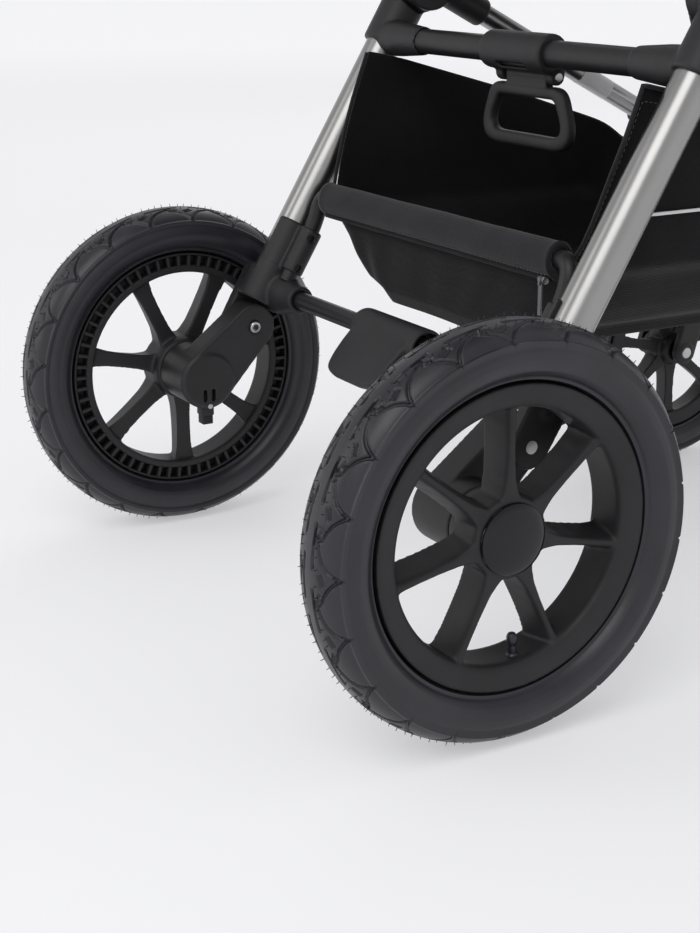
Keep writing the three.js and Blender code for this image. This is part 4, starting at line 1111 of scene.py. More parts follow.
def add_front():
    pivot = at_side(*MAIN_PIVOT)
    tube = Solids().sweep([on_front_leg(y) for y in (-263, -340, -420, -508)], 10 * MM, 56)
    plain_pair("front_tube", tube, "front_silver", "front_frame", ["front_leg_{}"])
    parts = Solids()
    parts.cross_rod(pivot, 27.8 * MM, 0.1902, 0.2051, 72, 0.0015)
    parts.rod(on_front_leg(-247), on_front_leg(-295), 13.4 * MM, None, 48, 0.0015)
    cuts = Solids().cross_rod(pivot, 50 * MM, 0.2052, 0.23, 64)
    hub = fused_mesh("front_hub_skin", parts, 0.0011, 4, cuts)
    show_pair("front_hub_moulding", hub, "casting", "front_frame", ["front_hub_{}"])
    label = Solids().sweep([on_front_leg(-412), on_front_leg(-447)], 10.25 * MM, 56)
    plain_pair("front_tube_label", label, "label", "front_frame")
    x, swivel_y = FRONT.x, -570
    parts = Solids()
    corners = [on_front_leg(-487), on_front_leg(-526), place(x + 4, -553, 326), place(x, -566, 302)]
    knuckle = bent_points(corners, 0.014)
    parts.sweep(knuckle, 14 * MM, 40)
    parts.rod(place(x, swivel_y, 270), place(x, swivel_y, 326), 17 * MM, None, 56, 0.005)
    parts.rod(place(x, swivel_y, 322), place(x, swivel_y, 328), 11 * MM, None, 40, 0.002)
    parts.cross_rod(at_side(*FRONT_BAR), 12 * MM, 0.168, 0.196, 40, 0.0015)
    cuts = Solids().cross_rod(at_side(*FRONT_BAR), 8.3 * MM, 0.16, 0.176, 40)
    knuckle_mesh = fused_mesh("knuckle_skin", parts, 0.0011, 6, cuts)
    show_pair("caster_moulding", knuckle_mesh, "casting", "front_frame", ["caster_housing_{}"])
    bar = Solids().cross_rod(at_side(*FRONT_BAR), 8 * MM, -0.176, 0.176, 48)
    plain("front_bar_tube", bar, "black_tube", "front_frame", "front_bar")
    parts = Solids()
    inner, outer = 25.2, 32.8
    shape = link_outline(side_point(swivel_y, 256), 12.8 * MM, side_point(*FRONT_AXLE), 12.8 * MM, 20)
    for side in (-1, 1):
        a, b = sorted((x + side * inner, x + side * outer))
        parts.board(shape, a * MM, b * MM)
        c, d = sorted((x + side * (outer - 1), x + side * (outer + 1.4)))
        parts.cross_rod(at_side(*FRONT_AXLE), 10 * MM, c * MM, d * MM, 40, 0.0008)
    parts.box(place(x - outer, swivel_y - 10.8, 246.3), place(x + outer, swivel_y + 11.8, 267.6))
    fork = fused_mesh("fork_skin", parts, 0.0011, 5)
    show_pair("fork_moulding", fork, "casting", "fork_{}", ["front_fork_{}"])
    stem = Solids().rod(place(x, swivel_y, 262), place(x, swivel_y, 314), 7 * MM, None, 32)
    plain_pair("fork_stem", stem, "steel", "fork_{}")
    axle = Solids().cross_rod(at_side(*FRONT_AXLE), 5.8 * MM, (x - 34.8) * MM, (x + 34.8) * MM, 32, 0.0008)
    plain_pair("front_axle_rod", axle, "steel", "fork_{}", ["front_axle_{}"])


# ---------------------------------------------------------------- handle
HANDLE_LEAN = math.atan2(523, 395)


def on_handle(x, reach, lift=0.0):
    c, s = math.cos(HANDLE_LEAN), math.sin(HANDLE_LEAN)
    return place(x, -233 + reach * c - lift * s, 502 + reach * s + lift * c)


def grip_box(half_x, half_reach, low, high):
    """Corners of a box on the grip's middle, for BOX_FACES."""
    return [on_handle(sx * half_x, 655 + sy * half_reach, lift)
            for sx in (-1, 1) for sy in (-1, 1) for lift in (low, high)]


def add_handle():
    pivot = at_side(*MAIN_PIVOT)
    parts = Solids()
    parts.cross_rod(pivot, 28.8 * MM, 0.2227, 0.2458, 80, 0.003)
    parts.rod(on_handle(232, 12), on_handle(232, 60), 15.5 * MM, None, 48, 0.002)
    cuts = Solids()
    cuts.cross_rod(pivot, 34 * MM, 0.205, 0.2226, 64)
    cuts.ring(pivot, [(0.2446, 0.0205), (0.2446, 0.0222), (0.247, 0.0222), (0.247, 0.0205)], 80)
    hub = fused_mesh("handle_hub_skin", parts, 0.0011, 4, cuts)
    show_pair("handle_hub_moulding", hub, "casting", "handle_sides", ["handle_lower_{}"])
    tube = Solids().sweep([on_handle(232, 40), on_handle(232, 200), on_handle(232, 340)], 14 * MM, 56)
    plain_pair("handle_tube", tube, "handle_silver", "handle_sides")
    collar = Solids()
    stations = [(318, 14.2), (319, 16.4), (322, 17.8), (358, 17.8), (362, 16.6), (364, 14.6), (364, 12.3)]
    collar.sweep([on_handle(232, s) for s, _ in stations], [r * MM for _, r in stations], 56)
    collar.rod(on_handle(232, 341, 14), on_handle(232, 341, 19.5), 5 * MM, None, 32, 0.001)
    plain_pair("handle_collar", collar, "casting", "handle_sides", bevel=0.0004)
    corners = [on_handle(x, reach) for x, reach in ((232, 232), (232, 655), (-232, 655), (-232, 232))]
    path = bent_points(corners, 0.07, 16)
    tube = Solids().sweep(path, 12 * MM, 48)
    plain("handle_bow", tube, "handle_silver", "handle_top", "handle_upper")
    stations = []
    for i in range(101):
        x = -150 + 3 * i
        near_end = min(abs(x + 150), abs(x - 150))
        radius = 17.0 - 2.2 * math.exp(-near_end / 2.0)
        stations.append((x, radius))
    grip = Solids().sweep([on_handle(x, 655) for x, _ in stations], [r * MM for _, r in stations], 64)
    grip_piece = plain("grip_cover", grip, "leather", "handle_top", "handle_grip", sharp=60)
    cutter = Solids()
    cutter.add(grip_box(15.2, 7.7, 9, 40), BOX_FACES)
    cut_out(grip_piece, cutter)
    stitches = Solids()
    for k in range(58):
        x = -143 + 286 * k / 57
        if abs(x) > 20:
            start, end = on_handle(x - 1.5, 652.6, -17.0), on_handle(x + 1.5, 657.4, -17.0)
            stitches.rod(start, end, 0.45 * MM, None, 8, 0.0002)
    plain("grip_stitches", stitches, "webbing", "handle_top")
    button = Solids()
    button.add(grip_box(14.3, 6.8, 8.4, 19.6), BOX_FACES)
    plain("fold_button_cap", button, "gloss", "fold_button", "fold_button", 0.0015)


# ---------------------------------------------------------------- seat
BACK_LEAN = math.radians(65)


def on_back(x, up, front=0.0):
    c, s = math.cos(BACK_LEAN), math.sin(BACK_LEAN)
    return place(x, -235 + up * c - front * s, 575 + up * s + front * c)


def add_seat_frame():
    seat, bumper = at_side(*SEAT_PIVOT), at_side(*BUMPER_PIVOT)
    parts = Solids()
    strut = link_outline(side_point(*SEAT_PIVOT), 16 * MM, side_point(*BUMPER_PIVOT), 13 * MM)
    for side in (-1, 1):
        parts.cross_rod(seat, 25.8 * MM, *span(side, 168.2, 182), 64, 0.0015)
        parts.cross_rod(seat, 21.8 * MM, *span(side, 181, 205), 64, 0.0015)
        parts.cross_rod(seat, 9 * MM, *span(side, 203, 212), 40)
        x0, x1 = sorted((side * 168.2, side * 182))
        parts.box(place(x0, -460, 549), place(x1, -235, 572.6))
        parts.board(strut, *span(side, 170, 181.6))
        parts.cross_rod(bumper, 5 * MM, *span(side, 178, 199), 32)
    parts.box(place(-169, -460, 549), place(169, -262, 555.6))
    cuts = Solids().box(place(-140, -430, 540), place(140, -300, 551))
    shape = fused_mesh("seat_frame_skin", parts, 0.0016, 4, cuts)
    finish_mesh("seat_frame_moulding", shape, "casting", "rear_frame", ["seat_frame"], None)
    caps = Solids()
    for side in (-1, 1):
        caps.cross_rod(seat, 15 * MM, *span(side, 204.8, 205.6), 48, 0.0003)
    plain("seat_joint_caps", caps, "gloss", "rear_frame")


def add_back_frame():
    seat, hood = at_side(*SEAT_PIVOT), Vector((0, HOOD.y, HOOD.z))
    parts = Solids()
    for side in (-1, 1):
        parts.cross_rod(seat, 21.8 * MM, *span(side, 146.2, 167.2), 64, 0.0015)
        parts.cross_rod(hood, 10 * MM, *span(side, 145, 161), 48, 0.001)
        parts.cross_rod(hood, 4 * MM, *span(side, 158, 180.8), 32)
    path = bent_points([on_back(150, 0), on_back(150, 480), on_back(-150, 480), on_back(-150, 0)], 0.05, 12)
    parts.sweep(path, 9 * MM, 40)
    corners = [on_back(sx * 146, up, front) for sx in (-1, 1) for up in (62, 474) for front in (-3.6, 1.6)]
    parts.add(corners, BOX_FACES)
    shape = fused_mesh("back_skin", parts, 0.0018, 4)
    finish_mesh("back_frame_moulding", shape, "black_tube", "backrest", ["backrest_frame"], None)
    lever = Solids()
    for half, ups, fronts in ((29.6, (410.5, 433.5), (-19.6, -4.8)), (21.6, (390.5, 420), (-19.6, -14.4))):
        corners = [on_back(sx * half, up, front) for sx in (-1, 1) for up in ups for front in fronts]
        lever.add(corners, BOX_FACES)
    lever_mesh = fused_mesh("lever_skin", lever, 0.0010, 5)
    finish_mesh("lever_moulding", lever_mesh, "plastic", "recline_lever", ["recline_lever"], None)
    cover = back_cover()
    finish_mesh("back_cover", cover, "seat_fabric", "backrest", (), None)


def back_cover():
    """Fabric stretched over the back of the board, slightly hollowed and rippled."""
    rows = []
    for i in range(41):
        up = 70 + 396 * i / 40
        row = []
        for k in range(41):
            x = -141 + 282 * k / 40
            hollow = 1.6 * math.sin(math.pi * i / 40) * math.sin(math.pi * k / 40)
            wave = 0.5 * math.sin(x / 17) * math.sin(up / 31)
            row.append(on_back(x, up, -5.2 + hollow * 0.5 + 0.6 * wave))
        rows.append(row)
    mesh = grid_mesh("back_cover_skin", rows)
    work = bmesh.new()
    work.from_mesh(mesh)
    bmesh.ops.solidify(work, geom=work.faces[:], thickness=0.0008)
    bmesh.ops.recalc_face_normals(work, faces=work.faces)
    work.to_mesh(mesh)
    work.free()
    return mesh


PAD_VOXEL = 0.005
PAD_PRESSURE = 4.0
PAD_SWELL = 0.005           # the furthest that the filling moves any point
PAD_FRAMES = 20


def swell(piece):
    """Fills the pad: its skin is inflated as cloth, and no point moves further than PAD_SWELL."""
    skin = piece.modifiers.new("skin", "REMESH")
    skin.mode = "VOXEL"
    skin.voxel_size = PAD_VOXEL
    baked(piece)
    start = np.empty(len(piece.data.vertices) * 3, np.float32)
    piece.data.vertices.foreach_get("co", start)
    start = start.reshape(-1, 3)
    cloth = piece.modifiers.new("cloth", "CLOTH")
    cloth.settings.quality = 6
    cloth.settings.mass = 0.25
    cloth.settings.tension_stiffness = 12
    cloth.settings.compression_stiffness = 12
    cloth.settings.bending_stiffness = 0.6
    cloth.settings.use_pressure = True
    cloth.settings.uniform_pressure_force = PAD_PRESSURE
    cloth.settings.effector_weights.gravity = 0
    cloth.point_cache.frame_start = 1
    cloth.point_cache.frame_end = PAD_FRAMES
    scene = bpy.context.scene
    for step in range(1, PAD_FRAMES + 1):
        scene.frame_set(step)
    graph = bpy.context.evaluated_depsgraph_get()
    swollen = bpy.data.meshes.new_from_object(piece.evaluated_get(graph))
    scene.frame_set(1)
    piece.modifiers.clear()
    ended = np.empty(len(swollen.vertices) * 3, np.float32)
    swollen.vertices.foreach_get("co", ended)
    move = ended.reshape(-1, 3) - start
    length = np.linalg.norm(move, axis=1, keepdims=True)
    move *= np.minimum(1, PAD_SWELL / np.maximum(length, 1e-9))
    swollen.vertices.foreach_set("co", (start + move).ravel())
    piece.data = swollen
    smooth = piece.modifiers.new("fine", "SUBSURF")
    smooth.levels = smooth.render_levels = 1
    baked(piece)
    for face in piece.data.polygons:
        face.use_smooth = True
    if not piece.data.materials:
        piece.data.materials.append(M["seat_fabric"])


def blunt(value, power):
    """value ** power with its sign kept, for outlines between a circle and a square."""
    return math.copysign(abs(value) ** power, value)


def smooth_step(t):
    t = min(max(t, 0.0), 1.0)
    return t * t * (3 - 2 * t)


def pad_skin(half_x, half_y, height, to_world, bolsters=0.0):
    """Closed pad on a rounded rectangle: a crowned top, drawn-in sides and a flat bottom.

    to_world(x, y, h) takes millimetres.
    """
    count_x, count_y = 48, 72
    top, bottom = [], []
    for i in range(count_y + 1):
        v = -1 + 2 * i / count_y
        top_row, bottom_row = [], []
        for k in range(count_x + 1):
            u = -1 + 2 * k / count_x
            px = u * math.sqrt(1 - 0.10 * v * v) * (1 - 0.012 * math.cos(v * math.pi * 1.5))
            py = v * math.sqrt(1 - 0.08 * u * u) * (1 - 0.012 * math.cos(u * math.pi * 1.5))
            rim = max(abs(u), abs(v))
            edge = max(0.0, (rim - 0.80) / 0.20)
            thick = 0.30 + 0.70 * math.sqrt(max(0.0, 1 - edge ** 2.2))
            crown = 1 + 0.10 * (1 - u * u) * (1 - v * v)
            side = bolsters * smooth_step((abs(u) - 0.55) / 0.25)
            h = height * (0.84 * thick * crown + side * thick)
            top_row.append(to_world(px * half_x, py * half_y, h))
            bottom_row.append(to_world(px * half_x, py * half_y, height * 0.02))
        top.append(top_row)
        bottom.append(bottom_row)
    mesh = grid_mesh("pad_skin", top)
    under = grid_mesh("pad_under", bottom)
    work = bmesh.new()
    work.from_mesh(mesh)
    work.from_mesh(under)
    edges = [edge for edge in work.edges if edge.is_boundary]
    bmesh.ops.bridge_loops(work, edges=edges)
    bmesh.ops.recalc_face_normals(work, faces=work.faces)
    work.to_mesh(mesh)
    work.free()
    bpy.data.meshes.remove(under)
    return mesh


def press_channels(piece, to_local, lines, depth, width):
    """Sinks sewn channels into the top of a pad.

    to_local gives (x, y, h) in mm, and lines are polylines in x and y.
    """
    for vert in piece.data.vertices:
        x, y, h = to_local(vert.co)
        if h < 4:
            continue
        best = 1e9
        for line in lines:
            for (x0, y0), (x1, y1) in zip(line, line[1:]):
                dx, dy = x1 - x0, y1 - y0
                t = min(max(((x - x0) * dx + (y - y0) * dy) / (dx * dx + dy * dy), 0), 1)
                best = min(best, math.hypot(x - x0 - t * dx, y - y0 - t * dy))
        if best < width * 2.4:
            sink = depth * math.exp(-(best / width) ** 2)
            vert.co -= to_local.normal * sink * MM


class PadPlace:
    """Turns pad millimetres (x across, y along, h out of the pad) into a place in the row frame, and back."""

    def __init__(self, origin, along, normal):
        self.origin = origin
        self.along = along.normalized()
        self.normal = normal.normalized()

    def world(self, x, y, h):
        return self.origin + Vector((x * MM, 0, 0)) + self.along * y * MM + self.normal * h * MM

    def __call__(self, co):
        away = co - self.origin
        return away.x / MM, away.dot(self.along) / MM, away.dot(self.normal) / MM


def seam_cord(name, points, radius, look, body):
    rope = Solids().sweep(points, radius, 10)
    return plain(name, rope, look, body)


def stitch_row(parts, points, length=2.6, gap=1.5, radius=0.00042):
    """Short thread dashes laid along the points."""
    pts = [Vector(p) for p in points]
    distance = [0.0]
    for a, b in zip(pts, pts[1:]):
        distance.append(distance[-1] + (b - a).length)

    def along(d):
        for i in range(len(pts) - 1):
            if d <= distance[i + 1] or i == len(pts) - 2:
                gone, whole = d - distance[i], distance[i + 1] - distance[i]
                return pts[i].lerp(pts[i + 1], gone / whole if whole else 0)
        return pts[-1]

    step = (length + gap) * MM
    d = 0.0
    while d + length * MM < distance[-1]:
        a, b = along(d), along(d + length * MM)
        parts.sweep([a, a.lerp(b, 0.5), b], [radius * 0.6, radius, radius * 0.6], 6)
        d += step


def strap(points, normals, half_width, thickness):
    """Flat woven strap along the points, as a closed band."""
    parts = Solids()
    verts, faces = [], []
    count = len(points)
    section = ((-1, 0.5), (-0.96, 1), (0.96, 1), (1, 0.5), (1, -0.5), (0.96, -1), (-0.96, -1), (-1, -0.5))
    for i in range(count):
        along = (Vector(points[min(i + 1, count - 1)]) - Vector(points[max(i - 1, 0)])).normalized()
        normal = Vector(normals[i]).normalized()
        across = along.cross(normal).normalized()
        for u, v in section:
            verts.append(Vector(points[i]) + across * u * half_width + normal * v * thickness / 2)
    n = len(section)
    for i in range(count - 1):
        for k in range(n):
            a, b = i * n + k, i * n + (k + 1) % n
            faces.append((a, b, b + n, a + n))
    faces.append(tuple(reversed(range(n))))
    faces.append(tuple(range((count - 1) * n, count * n)))
    parts.add(verts, faces)
    return parts


def add_seat_soft():
    seat_place = PadPlace(place(0, -365, 556.3), Vector((0, 1, 0)), Vector((0, 0, 1)))
    back_origin = on_back(0, 264, 9.8)
    up = on_back(0, 1) - on_back(0, 0)
    out = on_back(0, 0, 1) - on_back(0, 0, 0)
    back_place = PadPlace(back_origin, up, out)
    for name, spot, half_x, half_y, height, body, node, lines in (
        ("seat_cushion", seat_place, 152, 96, 25, "rear_frame", "seat_pad",
         [[(-95, -80), (-98, 80)], [(95, -80), (98, 80)], [(-92, -20), (92, -20)], [(-92, 34), (92, 34)]]),
        ("back_cushion", back_place, 135, 199, 22, "backrest", "backrest_pad",
         [[(-88, -185), (-92, 150)], [(88, -185), (92, 150)], [(-84, -90), (84, -90)], [(-84, 0), (84, 0)],
          [(-84, 90), (84, 90)]]),
    ):
        mesh = pad_skin(half_x, half_y, height, spot.world, bolsters=0.12)
        piece = finish_mesh(name, mesh, "seat_fabric", None, [node], None)
        swell(piece)
        press_channels(piece, spot, lines, 5.5, 4.2)
        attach(piece, body)
        edge = []
        for i in range(97):
            turn = 2 * math.pi * i / 96
            c, s = math.cos(turn), math.sin(turn)
            x = blunt(c, 0.28) * half_x * 0.985
            y = blunt(s, 0.28) * half_y * 0.985
            edge.append(spot.world(x, y, height * 0.30))
        seam_cord(name + "_piping", edge, 1.7 * MM, "webbing", body)
    add_harness(seat_place, back_place)


def add_harness(seat_place, back_place):
    """Five-point harness: shoulder straps with pads, lap straps, crotch strap, and a buckle on the seat."""
    for side, sign in SIDES:
        points, normals = [], []
        for i in range(25):
            t = i / 24
            lift = 27.5 + 1.6 * math.sin(t * math.pi)
            points.append(back_place.world(sign * (44 + 6 * t), 120 - 268 * t, lift))
            normals.append(back_place.normal)
        band = strap(points, normals, 12 * MM, 1.6 * MM)
        plain(f"shoulder_strap_{side}", band, "webbing", "backrest")
        points, normals = [], []
        for i in range(21):
            t = i / 20
            points.append(back_place.world(sign * 45.4, 96 - 150 * t, 32.4 + 1.4 * math.sin(t * math.pi)))
            normals.append(back_place.normal)
        pad = strap(points, normals, 21 * MM, 6.5 * MM)
        shown = plain(f"shoulder_pad_{side}", pad, "seat_fabric", "backrest", (), 0.0028)
        points, normals = [], []
        for i in range(17):
            t = i / 16
            lift = 26.8 + 4.2 * math.sin(math.pi * t) + 2.5 * t
            points.append(seat_place.world(sign * (118 - 88 * t), 62 - 78 * t, lift))
            normals.append(Vector((0, 0, 1)))
        band = strap(points, normals, 12 * MM, 1.6 * MM)
        plain(f"lap_strap_{side}", band, "webbing", "rear_frame")
    points = [seat_place.world(0, -70 + 56 * i / 12, 27.0 + 3.4 * math.sin(math.pi * i / 24))
              for i in range(13)]
    plain("crotch_strap", strap(points, [Vector((0, 0, 1))] * 13, 14 * MM, 1.8 * MM), "webbing", "rear_frame")
    parts = Solids()
    low = seat_place.world(-24, -34, 26)
    high = seat_place.world(24, 4, 37)
    parts.box(low, high)
    middle = seat_place.world(0, -14, 36)
    parts.rod(middle, middle + Vector((0, 0, 0.004)), 11 * MM, None, 48, 0.001)
    shape = fused_mesh("buckle_skin", parts, 0.0011, 6)
    finish_mesh("harness_buckle", shape, "plastic", "rear_frame", (), None)


def add_leg_rest():
    turn = math.atan2(-0.94, -0.34)
    along = Vector((0, math.cos(turn), math.sin(turn)))
    normal = Vector((0, -math.sin(turn), math.cos(turn)))
    hinge = at_side(*LEG_REST_PIVOT)
    parts = Solids()
    parts.cross_rod(hinge, 8 * MM, -0.148, 0.148, 48, 0.002)
    corners = [hinge + Vector((sx * 0.147, 0, 0)) + along * d * MM + normal * n * MM
               for sx in (-1, 1) for d in (0, 164) for n in (-4.6, 4.6)]
    parts.add(corners, BOX_FACES)
    shape = fused_mesh("leg_rest_skin", parts, 0.0018, 5)
    finish_mesh("leg_rest_board", shape, "plastic", "leg_rest", ["leg_rest"], None)
    front = normal if normal.y < 0 else -normal
    origin = hinge + along * 86 * MM + front * 5.0 * MM
    spot = PadPlace(origin, along, front)
    cover_mesh = pad_skin(147, 80, 16, spot.world)
    cover = finish_mesh("leg_rest_pad", cover_mesh, "seat_fabric", None, (), None)
    swell(cover)
    press_channels(cover, spot, [[(-132, 26), (132, 26)], [(-132, -26), (132, -26)]], 4.5, 4.2)
    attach(cover, "leg_rest")


def add_bumper():
    corners = ((193, -292, 622), (193, -430, 712), (153, -505, 722),
               (-153, -505, 722), (-193, -430, 712), (-193, -292, 622))
    path = bent_points([place(*corner) for corner in corners], 0.03, 12)
    fine = []
    for a, b in zip(path, path[1:]):
        steps = max(1, int((b - a).length / 0.006))
        fine += [a.lerp(b, i / steps) for i in range(steps)]
    fine.append(path[-1])
    radii = []
    for point in fine:
        covered = point.y < place(0, -345, 0).y
        radii.append((9.6 if covered else 8.2) * MM)
    tube = Solids().sweep(fine, radii, 40)
    plain("bumper_cover", tube, "leather", "bumper_bar", "bumper_bar", sharp=50)
    stitches = Solids()
    inner = [p + Vector((0, 0, -9.5 * MM)) for p in fine if p.y < place(0, -352, 0).y]
    stitch_row(stitches, inner, 3.0, 2.0, 0.0005)
    plain("bumper_stitches", stitches, "webbing", "bumper_bar")
    ends = Solids()
    for side in (-1, 1):
        low, high = span(side, 183.5, 202.8)
        profile = [(low, 0.0056), (low, 0.0125), (low + 0.0008, 0.013),
                   (high - 0.0008, 0.013), (high, 0.0125), (high, 0.0056)]
        ends.ring(at_side(*BUMPER_PIVOT), profile, 56)
    plain("bumper_ends", ends, "casting", "bumper_bar")


# ---------------------------------------------------------------- hood
HOOD_RADIUS = 205
BACK_EDGE, MIDDLE_BOW, FRONT_BOW = 60, 103, 152     # degrees above the horizontal, from behind


def on_hood(x, angle, reach):
    return Vector((x * MM, HOOD.y + reach * MM * math.cos(angle), HOOD.z + reach * MM * math.sin(angle)))


def add_hood():
    for name, degrees, half_x in (("front", FRONT_BOW, 176), ("middle", MIDDLE_BOW, 166)):
        angle = math.radians(degrees)
        path = bent_points([on_hood(half_x, angle, 6), on_hood(half_x, angle, HOOD_RADIUS),
                            on_hood(-half_x, angle, HOOD_RADIUS), on_hood(-half_x, angle, 6)], 0.06, 14)
        bow = Solids().sweep(path, 4.5 * MM, 28)
        for side in (-1, 1):
            low, high = span(side, half_x - 4.4, half_x + 4.4)
            profile = [(low, 0.0046), (low, 0.0088), (high, 0.0088), (high, 0.0046)]
            bow.ring(Vector((0, HOOD.y, HOOD.z)), profile, 40)
        plain(f"hood_bow_{name}_rod", bow, "black_tube", f"hood_{name}", f"hood_bow_{name}")
    start, end = math.radians(58), math.radians(155.4)
    around, across = 72, 96
    rows = []
    for i in range(around + 1):
        t = i / around
        angle = start + (end - start) * t
        to_bow = min(abs(angle - math.radians(d)) for d in (BACK_EDGE, MIDDLE_BOW, FRONT_BOW))
        sag = 1 - math.exp(-(to_bow / 0.16) ** 2)
        row = []
        for k in range(across + 1):
            s = -1 + 2 * k / across
            turn = s * math.pi / 2
            c, n = math.cos(turn), math.sin(turn)
            x = 185 * blunt(n, 0.22)
            flat = abs(c) ** 0.30
            reach = 24 + (214.5 - 24) * flat
            reach -= 5.0 * sag * flat * (1 - 0.3 * n * n)
            x -= math.copysign(2.5 * sag, n) * (1 - flat) * abs(n)
            pucker = 0.5 * math.sin(x / 6.5) * math.exp(-(to_bow / 0.05) ** 2)
            row.append(on_hood(x, angle, reach + pucker))
        rows.append(row)
    mesh = grid_mesh("hood_skin", rows)
    cover = bpy.data.objects.new("hood_cover", mesh)
    bpy.context.scene.collection.objects.link(cover)
    thick = cover.modifiers.new("cloth", "SOLIDIFY")
    thick.thickness = 0.0011
    thick.offset = -1
    mesh = baked(cover)
    bpy.data.objects.remove(cover)
    cover = finish_mesh("hood_cover", mesh, "hood_fabric", None, ["hood_canopy"], None)
    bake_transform(cover)
    seams = Solids()
    for degrees in (60, 99.5, 106.5, 148, 154.6):
        angle = math.radians(degrees)
        line = []
        for k in range(-44, 45):
            turn = k / 48 * math.pi / 2
            c, n = math.cos(turn), math.sin(turn)
            x = 185.6 * blunt(n, 0.22)
            reach = 24 + (215.3 - 24) * abs(c) ** 0.30
            line.append(on_hood(x, angle, reach))
        if degrees in (60, 154.6):
            seams.sweep(line, 1.4 * MM, 8)
        else:
            stitch_row(seams, line, 2.8, 1.8, 0.00045)
    seam = plain("hood_seams", seams, "webbing", None)
    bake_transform(seam)


# ---------------------------------------------------------------- basket
# The basket's section, in mm: level and half width, rear wall and front wall.
BASKET_LEVELS = (216, 228, 241, 248, 264, 290, 302, 330, 400, 430)
BASKET_HALVES = (102, 110, 119, 138, 153, 172, 187, 192, 196.5, 196.5)
BASKET_REARS = (-138, -131, -123, -121.5, -118, -113, -112, -112, -112, -112)
BASKET_FRONTS = (-404, -418, -428, -432, -438, -445, -447, -451, -452, -452)
BASKET_CORNER = 0.16        # the smaller, the squarer its corners
SIDE_EDGE_Y = (-470, -327, -204, -167, -145, -124, -112)    # top edge of the side panels, along the two legs
SIDE_EDGE_Z = (352, 398, 432, 440, 381, 319, 301)
FRONT_HEM_Z = 346
REAR_EDGE_Z = 301
FLOOR_EDGE_Z = 229
FLOOR_MIDDLE_Z = 219


def basket_point(cx, cy, level, puff=0.0):
    """Point of the basket's wall in mm.

    cx and cy run round the wall, and level runs from 0 at the floor's edge to 1 at the top edge.
    """
    top_y = -282 + 170 * cy
    side_top = np.interp(top_y, SIDE_EDGE_Y, SIDE_EDGE_Z)
    end_top = REAR_EDGE_Z if cy > 0 else FRONT_HEM_Z
    share = smooth_step((abs(cx) - 0.86) / 0.14)
    z = FLOOR_EDGE_Z + (end_top + (side_top - end_top) * share - FLOOR_EDGE_Z) * level
    half = np.interp(z, BASKET_LEVELS, BASKET_HALVES)
    rear = np.interp(z, BASKET_LEVELS, BASKET_REARS)
    front = np.interp(z, BASKET_LEVELS, BASKET_FRONTS)
    x = cx * (half + puff)
    y = (rear + front) / 2 + cy * ((rear - front) / 2 + puff)
    return x, y, z


def basket_turns(count):
    """Evenly spaced places round the basket, a rectangle with rounded corners, as (cx, cy) within +-1."""
    turn = np.linspace(0, 2 * math.pi, 6001)
    cx = np.sign(np.cos(turn)) * np.abs(np.cos(turn)) ** BASKET_CORNER
    cy = np.sign(np.sin(turn)) * np.abs(np.sin(turn)) ** BASKET_CORNER
    run = np.concatenate([[0], np.cumsum(np.hypot(np.diff(cx), np.diff(cy)))])
    steps = np.linspace(0, run[-1], count, endpoint=False)
    return list(zip(np.interp(steps, run, cx), np.interp(steps, run, cy)))


def basket_folds(cx, cy, level):
    """Small soft folds of the hanging cloth, strongest half way up and near the corners."""
    slack = math.sin(math.pi * min(1.0, max(0.0, level)))
    corner = (abs(cx) * abs(cy)) ** 3
    wide = 1.6 * math.sin(7 * cx + 3 * level) * math.sin(5 * cy + 2.2 * level)
    fine = 0.8 * math.sin(19 * cx + 13 * cy + 4 * level)
    drawn = 1.8 * corner * math.sin(26 * (cx - cy) + 9 * level)
    return slack * (wide + fine * (0.4 + corner) + drawn)


